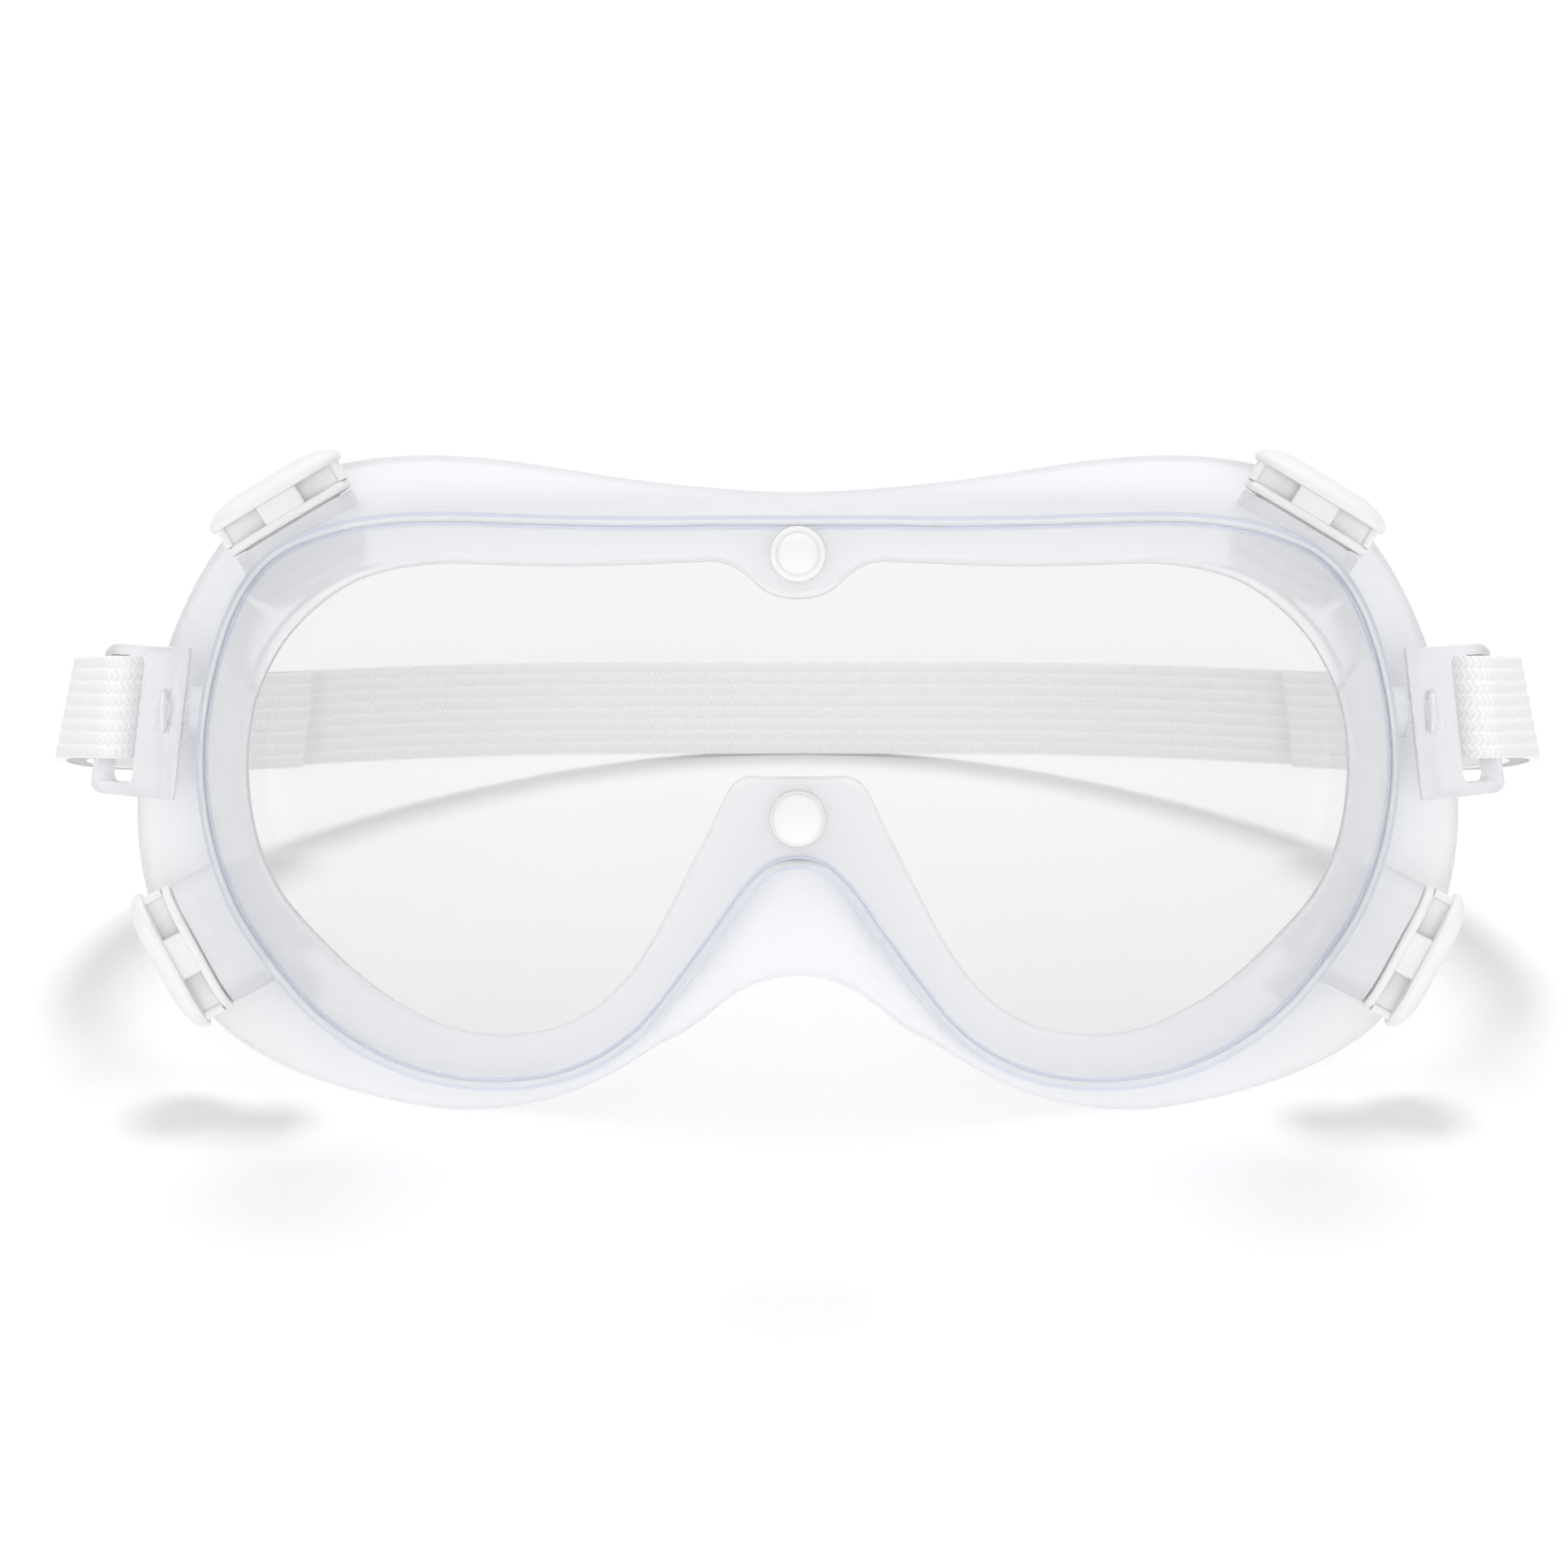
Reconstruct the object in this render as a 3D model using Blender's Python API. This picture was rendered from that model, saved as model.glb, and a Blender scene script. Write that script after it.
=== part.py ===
"""Chemical splash goggles standing on their lower rim, leaning back on their elastic headband.

A soft moulded frame grips a curved lens, which two push rivets lock in place. Four capped vents sit
in seats on the frame's wall. Two clips, pinned to bosses on the frame's sides, carry the headband.

Everything is drawn in the goggles' own frame, in millimetres: x to the side, y from the front of
the lens towards the face, z up the lens. One empty then leans the whole object back.
"""

import math

import bmesh
import bpy
from mathutils import Matrix, Vector

MM = 0.001
GAP = 0.3                  # clearance between touching pieces

# Lens and the channel that holds it
LENS_RADIUS = 100.0        # front surface, about an upright axis
LENS_THICKNESS = 2.0
LENS_INSET = 1.6           # lens edge inside the channel's outer edge
GROOVE_INSET = LENS_INSET - GAP
LIP_FRONT = -1.8           # front of the lip, measured from the lens front
LIP_ROUNDING = 0.6
BEAD_WIDTH = 1.1
BEAD_FRONT = -2.8
REAR_LIP_BACK = 5.0
REAR_LIP_SETBACK = 0.1     # share of the lip's width

# Frame wall and face rim
WALL = 1.7
BROW_DEPTH = 34.0
TEMPLE_SWEEP = 0.00368     # rim depth gained per mm squared of x
NOSE_RELIEF = 14.0
NOSE_RELIEF_WIDTH = 22.0
# How far out (share of the flare) and how far back (share of the depth) the wall passes
WALL_PROFILE = ((0.0, 0.0), (0.10, 0.30), (0.35, 0.65), (0.70, 0.88), (1.0, 1.0))

# Half outlines as (x, z), from the top centre down one side to the middle of the nose. Each row
# gives the lens opening, the channel's outer edge and the face rim at the same place.
STATIONS = (
    ((0.0, 21.9), (0.0, 31.8), (0.0, 34.3)),
    ((3.5, 22.6), (3.6, 31.8), (3.7, 34.4)),
    ((6.2, 24.8), (7.2, 31.8), (7.4, 34.6)),
    ((9.0, 26.2), (10.8, 31.8), (11.0, 34.9)),
    ((13.0, 26.2), (15.0, 31.7), (15.4, 35.3)),
    ((20.0, 25.9), (21.5, 31.7), (22.5, 36.2)),
    ((27.5, 25.7), (28.5, 31.8), (30.0, 37.4)),
    ((35.0, 25.8), (36.0, 32.0), (38.0, 38.5)),
    ((42.5, 25.9), (43.8, 32.1), (46.5, 38.9)),
    ((48.6, 25.1), (51.0, 31.6), (54.5, 38.3)),
    ((53.9, 23.3), (58.0, 30.1), (62.3, 36.2)),
    ((59.0, 19.7), (64.6, 26.9), (69.5, 31.5)),
    ((63.1, 15.0), (69.4, 20.8), (75.5, 24.0)),
    ((66.2, 8.2), (72.7, 11.5), (80.3, 13.8)),
    ((67.1, 0.5), (74.0, 1.5), (83.6, 1.5)),
    ((66.0, -7.5), (72.9, -8.0), (84.3, -9.0)),
    ((63.0, -14.0), (69.8, -16.3), (82.6, -18.5)),
    ((58.2, -19.2), (65.2, -22.9), (79.0, -26.5)),
    ((52.5, -24.1), (59.2, -29.2), (72.8, -33.9)),
    ((47.5, -27.2), (52.4, -33.6), (64.0, -38.6)),
    ((42.0, -29.5), (45.0, -36.2), (54.0, -41.4)),
    ((36.0, -30.3), (37.3, -37.0), (43.5, -42.9)),
    ((29.5, -29.4), (29.8, -36.2), (34.5, -42.0)),
    ((24.5, -27.0), (23.4, -33.8), (27.5, -39.8)),
    ((20.5, -23.3), (18.2, -30.0), (21.8, -36.8)),
    ((17.2, -18.5), (14.2, -25.2), (17.4, -33.9)),
    ((14.6, -13.6), (11.4, -21.4), (13.9, -31.9)),
    ((12.2, -8.8), (9.0, -18.1), (11.4, -30.0)),
    ((9.9, -4.2), (6.9, -15.0), (9.3, -28.2)),
    ((8.0, -0.4), (5.0, -12.6), (7.0, -26.6)),
    ((6.2, 0.9), (3.3, -11.0), (4.7, -25.5)),
    ((3.0, 0.9), (1.6, -10.2), (2.3, -24.8)),
    ((0.0, 0.9), (0.0, -10.0), (0.0, -24.6)),
)
STATION_STEPS = 2
LENS_HALF_WIDTH = 80.0     # the sheet before it is cut to shape
LENS_HALF_HEIGHT = 45.0
LENS_COLUMNS = 44
LENS_CUT_FRONT = -10.0
LENS_CUT_BACK = 50.0

# Push rivets that lock the lens: height on the centre line, and the plug's dome radius
RIVETS = {"top": (27.3, 2.5), "nose": (-4.0, 3.0)}
RIVET_HEAD_RADIUS = 3.3
RIVET_HEAD = 0.9
RIVET_SHANK_RADIUS = 1.3
RIVET_BORE_RADIUS = 0.75
RIVET_PIN_RADIUS = 0.45
RIVET_BARB_RADIUS = 1.9
RIVET_BARB = 1.0
RIVET_PLUG_EDGE = 0.2
RIVET_PLUG_DOME = 1.0
RIVET_DOME_ANGLES = (0.0, 0.4, 0.8, 1.2)
RIVET_EDGE = 0.4           # bevel of the flange
RIVET_HOLE_REACH = 10.0
ROUND_SIDES = 16

# Vents: stadium-shaped, long side along the frame's edge. Heights are measured outwards from the
# outer face of the base plate.
VENT_LENGTH = 17.3
VENT_WIDTH = 9.6
VENT_PLATE = 1.2
VENT_EDGE = 0.4            # bevel of the plate
VENT_NECK_INSET = 1.9
VENT_PORT_INSET = 2.8
VENT_BARB_INSET = 1.5
VENT_RETAINER_OUTER = 0.8
VENT_RETAINER = 1.2
VENT_BARB = 1.3            # how far the neck reaches past its retainer
VENT_PORT_REACH = 3.0
CAP_LENGTH = 18.7
CAP_WIDTH = 10.6
CAP_UNDERSIDE = 2.4
CAP_DOME = ((0.3, 0.0), (0.0, 0.3), (0.0, 0.8), (0.9, 1.8), (2.4, 2.5), (4.2, 2.8))
CAP_POST = 1.1
CAP_POST_HALF_WIDTH = 2.2
CAP_POST_OFFSET = 7.5
CAP_ROOT = 0.6             # how far posts and stem reach into the dome
CAP_EDGE = 0.4
CAP_STEM = 5.6
CAP_STEM_WIDTH = 2.9
CAP_STEM_DEPTH = 2.6
CAP_WEB_HALF_WIDTH = 4.2   # a wall across the cap's middle
CAP_BAFFLE_HALF_WIDTH = 1.7
SEAT_LENGTH = 16.6
SEAT_WIDTH = 9.4
ARC_STEPS = 6
CORNER_STEPS = 3
# Name: plate centre (x, y, z), outward direction in degrees from +x, depth of the seat's inner face
VENTS = {
    "upper": ((63.0, 35.6, 31.6), 59.0, -6.3),
    "lower": ((75.6, 43.0, -22.9), -28.4, -10.5),
}

# Side clips and their pins
HINGE_Y = 46.5
HINGE_Z = 6.6
BOSS_RADIUS = 3.2
BOSS_FACE = 76.1
BOSS_BACK = 71.9
CLIP_TOP = 14.7
CLIP_BOTTOM = -4.3
CLIP_LEAN = 0.115          # the clip's foot stands further out than its top
CLIP_DIRECTION = Vector((0.507, 0.862))
CLIP_OUTWARD = Vector((0.862, -0.507))
CLIP_BAR = Vector((87.9, 62.5))
CLIP_INNER = 76.7
CLIP_HEEL = 0.5
CLIP_THICKNESS = 2.0
CLIP_BAR_HALF = 0.9
CLIP_CORNER = 4.2
SLOT_FRONT = 52.4
SLOT_BOTTOM = -2.7
SLOT_TOP = 13.4
SLOT_CORNER = 1.2
CLIP_FRONT = 38.0
SIDE_REACH = 120.0         # side cutters reach past everything
EYE_START = 60.0
PIN_RADIUS = 1.5
PIN_HEAD_RADIUS = 2.6
PIN_HEAD = 0.9
PIN_EDGE = 0.3
PIN_OUTER = 79.8
COUNTERBORE_FLOOR = 78.6

# Elastic headband: route of its outer layer as (x, y), and how far its lower edge leans out
STRAP_WIDTH = 13.0
STRAP_SAG = 2.0
STRAP_THICKNESS = 1.6
STRAP_LAYER_SPACING = CLIP_THICKNESS + STRAP_THICKNESS + 2 * GAP
STRAP_FOLD = 3.0           # how far the fold hangs in front of the clip's bar
STRAP_ROUTE = (
    (91.7, 65.3), (93.6, 71.5), (94.7, 79.0), (94.3, 87.5), (91.8, 97.5), (87.1, 107.7), (80.1, 118.0),
    (70.7, 128.2), (59.2, 138.0), (46.2, 146.8), (31.7, 154.2), (16.2, 159.0), (0.0, 160.7),
)
STRAP_LEAN = (
    0.115, 0.17, 0.21, 0.22, 0.20, 0.18, 0.15,
    0.12, 0.09, 0.06, 0.03, 0.01, 0.0,
)
STRAP_STEPS = 2
STRAP_TURN_STEPS = 6
SLIDE_ROUTE_INDEX = 6      # the route point that the adjuster sits at
SLIDE_LENGTH = 10.0
SLIDE_RAIL = 1.4
SLIDE_BAR = 2.2
SLIDE_BAR_THICKNESS = 1.2
SLIDE_CLEARANCE = 0.9      # between the band's edges and the rails
SLIDE_OVERLAP = 0.5        # how far the bars run into the rails
SLIDE_STEP = 0.1           # the bars stand just inside the rails' faces

LEAN = math.radians(18.0)
SINK = 0.25                # how far the soft rim and strap are pressed flat on the ground
GROUND_HALF = 150.0
GROUND_DEPTH = 20.0

VINYL = ("clear_vinyl", (0.86, 0.88, 0.93), 0.25)
POLYCARBONATE = ("clear_polycarbonate", (0.90, 0.92, 0.94), 0.05)
WHITE_PLASTIC = ("white_plastic", (0.88, 0.87, 0.84), 0.35)
CLEAR_PLASTIC = ("clear_plastic", (0.82, 0.84, 0.88), 0.12)
ELASTIC = ("white_elastic", (0.80, 0.79, 0.76), 0.9)


def clear_scene():
    for obj in list(bpy.data.objects):
        bpy.data.objects.remove(obj, do_unlink=True)


def material(spec):
    name, colour, roughness = spec
    mat = bpy.data.materials.get(name)
    if mat is None:
        mat = bpy.data.materials.new(name)
        mat.use_nodes = True
        shader = mat.node_tree.nodes["Principled BSDF"]
        shader.inputs["Base Color"].default_value = (*colour, 1.0)
        shader.inputs["Roughness"].default_value = roughness
        shader.inputs["Metallic"].default_value = 0.0
    return mat


def make_object(name, mesh, spec, parent, matrix=None):
    """Links a mesh as a named object in its parent's frame."""
    obj = bpy.data.objects.new(name, mesh)
    bpy.context.scene.collection.objects.link(obj)
    if not mesh.materials:
        mesh.materials.append(material(spec))
    obj.parent = parent
    obj.matrix_local = matrix or Matrix.Identity(4)
    return obj


def make_cutter(name, mesh, parent, matrix=None):
    """A guide shape that other objects add or cut away."""
    obj = make_object(name, mesh, VINYL, parent, matrix)
    obj.hide_render = True
    obj.display_type = "WIRE"
    return obj


def combine(obj, cutter, operation):
    modifier = obj.modifiers.new(f"{operation.lower()}_{cutter.name}", "BOOLEAN")
    modifier.operation = operation
    modifier.object = cutter


def finish_mesh(mesh):
    """Turns the faces outwards and shades the round ones smooth."""
    shape = bmesh.new()
    shape.from_mesh(mesh)
    bmesh.ops.recalc_face_normals(shape, faces=shape.faces)
    shape.to_mesh(mesh)
    shape.free()
    mesh.shade_smooth()
    mesh.set_sharp_from_angle(angle=math.radians(35.0))
    return mesh


def loop_mesh(name, sections, closed):
    """Joins sections with equal point counts. A closed row makes a ring; an open one gets end caps."""
    size = len(sections[0])
    points = [Vector(point) * MM for section in sections for point in section]
    faces = []
    spans = len(sections) if closed else len(sections) - 1
    for i in range(spans):
        j = (i + 1) % len(sections)
        for k in range(size):
            m = (k + 1) % size
            faces.append((i * size + k, i * size + m, j * size + m, j * size + k))
    if not closed:
        faces.append(tuple(range(size)))
        faces.append(tuple(range(len(points) - size, len(points))))
    mesh = bpy.data.meshes.new(name)
    mesh.from_pydata(points, [], faces)
    return finish_mesh(mesh)


def prism(name, shape, low, high):
    """An outline in x and y, raised from one height to the other."""
    sections = [[(x, y, z) for x, y in shape] for z in (low, high)]
    return loop_mesh(name, sections, closed=False)


def turned(name, profile, sides):
    """A solid of revolution about z from (radius, z) points, closed round the axis."""
    sections = []
    for i in range(sides):
        angle = 2 * math.pi * i / sides
        sections.append([(r * math.cos(angle), r * math.sin(angle), z) for r, z in profile])
    return loop_mesh(name, sections, closed=True)


def turned_solid(name, profile, sides):
    """A solid of revolution about z whose (radius, z) profile ends in flat discs."""
    sections = []
    for r, z in profile:
        angles = [2 * math.pi * i / sides for i in range(sides)]
        sections.append([(r * math.cos(a), r * math.sin(a), z) for a in angles])
    return loop_mesh(name, sections, closed=False)


def stadium(length, width, inset=0.0):
    """A slot-shaped outline with round ends, along x."""
    radius = width / 2 - inset
    straight = (length - width) / 2
    shape = []
    for side in (1, -1):
        for i in range(ARC_STEPS + 1):
            angle = math.pi * (i / ARC_STEPS - 0.5)
            shape.append((side * (straight + radius * math.cos(angle)), side * radius * math.sin(angle)))
    return shape


def rounded_rectangle(low, high, radius):
    """A rectangle's outline with round corners, from two opposite corners."""
    shape = []
    corners = ((high[0] - radius, high[1] - radius), (low[0] + radius, high[1] - radius),
               (low[0] + radius, low[1] + radius), (high[0] - radius, low[1] + radius))
    for quarter, (x, y) in enumerate(corners):
        for i in range(CORNER_STEPS + 1):
            angle = math.pi / 2 * (quarter + i / CORNER_STEPS)
            shape.append((x + radius * math.cos(angle), y + radius * math.sin(angle)))
    return shape


def smooth_path(points, steps, closed):
    """Samples a Catmull-Rom curve through the points."""
    count = len(points)

    def at(i):
        return points[i % count] if closed else points[min(max(i, 0), count - 1)]

    path = []
    for i in range(count if closed else count - 1):
        p0, p1, p2, p3 = at(i - 1), at(i), at(i + 1), at(i + 2)
        for step in range(steps):
            t = step / steps
            path.append(0.5 * (2 * p1 + (p2 - p0) * t + (2 * p0 - 5 * p1 + 4 * p2 - p3) * t ** 2
                               + (3 * p1 - p0 - 3 * p2 + p3) * t ** 3))
    if not closed:
        path.append(points[-1])
    return path


def frame_outline(column):
    """One of the three frame outlines, mirrored into a closed loop of (x, z) points."""
    half = [Vector(row[column]) for row in STATIONS]
    other = [Vector((-p.x, p.y)) for p in reversed(half[1:-1])]
    return smooth_path(half + other, STATION_STEPS, closed=True)


def inward_normals(path):
    """Unit normals of a clockwise closed path, pointing to its inside."""
    normals = []
    for i, _ in enumerate(path):
        along = path[(i + 1) % len(path)] - path[i - 1]
        normals.append(Vector((along.y, -along.x)).normalized())
    return normals


def shell_depth(x, offset):
    """Depth of the surface that lies `offset` behind the lens front."""
    return LENS_RADIUS - math.sqrt((LENS_RADIUS - offset) ** 2 - x ** 2)


def rim_depth(x, z):
    relief = NOSE_RELIEF * math.exp(-(x / NOSE_RELIEF_WIDTH) ** 2) if z < 0 else 0.0
    return BROW_DEPTH + TEMPLE_SWEEP * x ** 2 - relief


def offset_polyline(points, distance):
    """Moves an open polyline sideways, keeping its thickness at the bends."""
    moved = []
    for i, point in enumerate(points):
        before = (point - points[i - 1]).normalized() if i else None
        after = (points[i + 1] - point).normalized() if i + 1 < len(points) else None
        before = before or after
        after = after or before
        side = (Vector((before.y, -before.x)) + Vector((after.y, -after.x))).normalized()
        stretch = max(0.7, side.dot(Vector((after.y, -after.x))))
        moved.append(point - side * distance / stretch)
    return moved


def frame_section(lip, channel, rim, inward):
    """One cut through the frame: front lip, bead, wall, rim, and the lens groove behind the lip."""
    across = (channel - lip).normalized()
    flare = rim - channel
    out = flare.normalized()
    rear_lip = lip + (channel - lip) * REAR_LIP_SETBACK
    groove = channel + inward * GROOVE_INSET

    def on_shell(p, offset):
        return (p.x, shell_depth(p.x, offset), p.y)

    def on_wall(p):
        flat = channel + out * p.x
        return (flat.x, p.y, flat.y)

    start = shell_depth(channel.x, REAR_LIP_BACK)
    depth = rim_depth(rim.x, rim.y) - start
    outer = [Vector((u * flare.length, start + v * depth)) for u, v in WALL_PROFILE]
    inner = offset_polyline(outer, WALL)
    inner[0].y = start
    section = [
        on_shell(lip, -GAP),
        on_shell(lip, LIP_FRONT + LIP_ROUNDING),
        on_shell(lip + across * LIP_ROUNDING, LIP_FRONT),
        on_shell(channel + inward * BEAD_WIDTH, LIP_FRONT),
        on_shell(channel + inward * BEAD_WIDTH * 0.75, BEAD_FRONT),
        on_shell(channel + inward * BEAD_WIDTH * 0.25, BEAD_FRONT),
        on_shell(channel, LIP_FRONT),
    ]
    section += [on_wall(p) for p in outer]
    section += [on_wall(p) for p in reversed(inner)]
    section += [
        on_shell(rear_lip, REAR_LIP_BACK),
        on_shell(rear_lip, LENS_THICKNESS + GAP),
        on_shell(groove, LENS_THICKNESS + GAP),
        on_shell(groove, -GAP),
    ]
    return section


def vent_matrix(name, side):
    """The vent's own frame: x along the slot, y towards the wearer, z out of the plate."""
    centre, degrees, _ = VENTS[name]
    angle = math.radians(degrees)
    outward = Vector((side * math.cos(angle), 0.0, math.sin(angle)))
    back = Vector((0.0, 1.0, 0.0))
    matrix = Matrix((back.cross(outward), back, outward)).transposed().to_4x4()
    matrix.translation = Vector((side * centre[0], centre[1], centre[2])) * MM
    return matrix


def side_axis_matrix(side):
    """Turns z to point out of one side of the frame, at the clips' hinge."""
    matrix = Matrix.Rotation(side * math.pi / 2, 4, "Y")
    matrix.translation = Vector((0.0, HINGE_Y, HINGE_Z)) * MM
    return matrix


def front_axis_matrix(height):
    """Turns z to point out of the front of the lens at a height on the centre line."""
    matrix = Matrix.Rotation(math.pi / 2, 4, "X")
    matrix.translation = Vector((0.0, 0.0, height)) * MM
    return matrix


def build_frame(goggles):
    rows = zip(frame_outline(0), frame_outline(1), frame_outline(2), inward_normals(frame_outline(1)))
    sections = [frame_section(*row) for row in rows]
    skirt_mesh = loop_mesh("frame_skirt", sections, closed=True)
    frame = make_object("frame_skirt", skirt_mesh, VINYL, goggles)
    seat = stadium(SEAT_LENGTH, SEAT_WIDTH)
    port = stadium(VENT_LENGTH, VENT_WIDTH, VENT_NECK_INSET - GAP)
    for name, (_, _, inner_face) in VENTS.items():
        seat_mesh = prism(f"seat_{name}", seat, inner_face, -VENT_PLATE - GAP)
        port_mesh = prism(f"port_{name}", port, inner_face - VENT_PORT_REACH, VENT_PORT_REACH)
        for side in (-1, 1):
            matrix = vent_matrix(name, side)
            combine(frame, make_cutter(f"seat_{name}_{side}", seat_mesh, goggles, matrix), "UNION")
            combine(frame, make_cutter(f"port_{name}_{side}", port_mesh, goggles, matrix), "DIFFERENCE")
    boss_mesh = turned_solid("boss", ((BOSS_RADIUS, BOSS_BACK), (BOSS_RADIUS, BOSS_FACE)), ROUND_SIDES)
    hole_mesh = turned_solid("pin_hole", ((PIN_RADIUS + GAP, EYE_START), (PIN_RADIUS + GAP, SIDE_REACH)),
                             ROUND_SIDES)
    for side in (-1, 1):
        matrix = side_axis_matrix(side)
        combine(frame, make_cutter(f"boss_{side}", boss_mesh, goggles, matrix), "UNION")
        combine(frame, make_cutter(f"pin_hole_{side}", hole_mesh, goggles, matrix), "DIFFERENCE")
    return frame


def build_lens(goggles):
    """The curved sheet, cut to the channel's outline."""
    top = LENS_HALF_HEIGHT
    sheet = []
    for i in range(LENS_COLUMNS + 1):
        x = LENS_HALF_WIDTH * (2 * i / LENS_COLUMNS - 1)
        front = (x, shell_depth(x, 0.0))
        angle = math.asin(x / LENS_RADIUS)
        back = (x - LENS_THICKNESS * math.sin(angle), front[1] + LENS_THICKNESS * math.cos(angle))
        sheet.append([(*front, -top), (*back, -top), (*back, top), (*front, top)])
    lens = make_object("lens", loop_mesh("lens", sheet, closed=False), POLYCARBONATE, goggles)
    channel = frame_outline(1)
    edge = [p + n * LENS_INSET for p, n in zip(channel, inward_normals(channel))]
    blank = [[(p.x, y, p.y) for p in edge] for y in (LENS_CUT_FRONT, LENS_CUT_BACK)]
    blank_mesh = loop_mesh("lens_blank", blank, closed=False)
    combine(lens, make_cutter("lens_blank", blank_mesh, goggles), "INTERSECT")
    return lens


def build_rivets(goggles, frame, lens):
    """Two-part push rivets: a flanged socket through lip, lens and rear lip, and a domed plug."""
    flange = RIVET_HEAD_RADIUS
    head_back = -LIP_FRONT + GAP
    head_front = head_back + RIVET_HEAD
    barb_front = -REAR_LIP_BACK - GAP
    barb_back = barb_front - RIVET_BARB
    socket = turned("rivet_socket", (
        (RIVET_BORE_RADIUS, head_front), (flange - RIVET_EDGE, head_front),
        (flange, head_front - RIVET_EDGE), (flange, head_back),
        (RIVET_SHANK_RADIUS, head_back), (RIVET_SHANK_RADIUS, barb_front),
        (RIVET_BARB_RADIUS, barb_front), (RIVET_SHANK_RADIUS, barb_back),
        (RIVET_BORE_RADIUS, barb_back)), ROUND_SIDES)
    hole_radius = RIVET_SHANK_RADIUS + GAP
    reach = RIVET_HOLE_REACH
    hole = turned_solid("rivet_hole", ((hole_radius, -reach), (hole_radius, reach)), ROUND_SIDES)
    base = head_front + GAP
    for name, (height, dome_radius) in RIVETS.items():
        matrix = front_axis_matrix(height)
        cutter = make_cutter(f"rivet_hole_{name}", hole, goggles, matrix)
        combine(frame, cutter, "DIFFERENCE")
        combine(lens, cutter, "DIFFERENCE")
        make_object(f"{name}_rivet_socket", socket, WHITE_PLASTIC, goggles, matrix)
        dome = [(dome_radius * math.cos(angle), base + RIVET_PLUG_EDGE + RIVET_PLUG_DOME * math.sin(angle))
                for angle in RIVET_DOME_ANGLES]
        pin = [(RIVET_PIN_RADIUS, barb_front), (RIVET_PIN_RADIUS, base)]
        plug = turned_solid(f"{name}_rivet_plug", [*pin, (dome_radius, base), *dome], ROUND_SIDES)
        make_object(f"{name}_rivet_plug", plug, WHITE_PLASTIC, goggles, matrix)


def vent_tube(name, profile):
    """A stadium-shaped ring: each profile point is (inset from the plate's edge, height)."""
    insets = [stadium(VENT_LENGTH, VENT_WIDTH, inset) for inset, _ in profile]
    sections = []
    for i in range(len(insets[0])):
        sections.append([(*shape[i], profile[k][1]) for k, shape in enumerate(insets)])
    return loop_mesh(name, sections, closed=True)


def cap_mesh():
    """The domed cover, flat below."""
    sections = []
    for inset, height in CAP_DOME:
        shape = stadium(CAP_LENGTH, CAP_WIDTH, inset)
        sections.append([(x, y, CAP_UNDERSIDE + height) for x, y in shape])
    return loop_mesh("vent_cap", sections, closed=False)


def cap_pillars():
    """What stands under the cover: stem, cross wall, splash baffle and two end posts."""
    root = CAP_UNDERSIDE + CAP_ROOT
    post_end = CAP_POST_OFFSET + CAP_POST
    ranges = (
        (-CAP_STEM / 2, CAP_STEM / 2, CAP_STEM_WIDTH / 2, -CAP_STEM_DEPTH),
        (-CAP_STEM / 2, CAP_STEM / 2, CAP_WEB_HALF_WIDTH, GAP),
        (-CAP_POST_OFFSET - CAP_EDGE, CAP_POST_OFFSET + CAP_EDGE, CAP_BAFFLE_HALF_WIDTH, GAP),
        (CAP_POST_OFFSET, post_end, CAP_POST_HALF_WIDTH, GAP),
        (-post_end, -CAP_POST_OFFSET, CAP_POST_HALF_WIDTH, GAP),
    )
    pillars = []
    for low, high, half_width, foot in ranges:
        shape = rounded_rectangle((low, -half_width), (high, half_width), CAP_EDGE)
        pillars.append(prism("vent_pillar", shape, foot, root))
    return pillars


def build_vents(goggles):
    cap = cap_mesh()
    pillars = cap_pillars()
    for name, (_, _, inner_face) in VENTS.items():
        ring_face = inner_face - GAP
        ring_back = ring_face - VENT_RETAINER
        neck_end = ring_back - VENT_BARB
        barb = ring_back - GAP
        base = vent_tube("vent_base", (
            (VENT_EDGE, 0.0), (VENT_PORT_INSET, 0.0), (VENT_PORT_INSET, neck_end),
            (VENT_NECK_INSET, neck_end), (VENT_BARB_INSET, barb), (VENT_NECK_INSET, barb),
            (VENT_NECK_INSET, -VENT_PLATE), (VENT_EDGE, -VENT_PLATE), (0.0, -VENT_EDGE)))
        ring_inner = VENT_NECK_INSET - GAP
        retainer = vent_tube("vent_retainer", (
            (VENT_RETAINER_OUTER, ring_face), (ring_inner, ring_face),
            (ring_inner, ring_back), (VENT_RETAINER_OUTER, ring_back)))
        for side, word in ((-1, "left"), (1, "right")):
            matrix = vent_matrix(name, side)
            make_object(f"vent_base_{name}_{word}", base, WHITE_PLASTIC, goggles, matrix)
            make_object(f"vent_retainer_{name}_{word}", retainer, WHITE_PLASTIC, goggles, matrix)
            cover = make_object(f"vent_cap_{name}_{word}", cap, WHITE_PLASTIC, goggles, matrix)
            for i, pillar in enumerate(pillars):
                combine(cover, make_cutter(f"pillar_{name}_{word}_{i}", pillar, goggles, matrix), "UNION")


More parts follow.
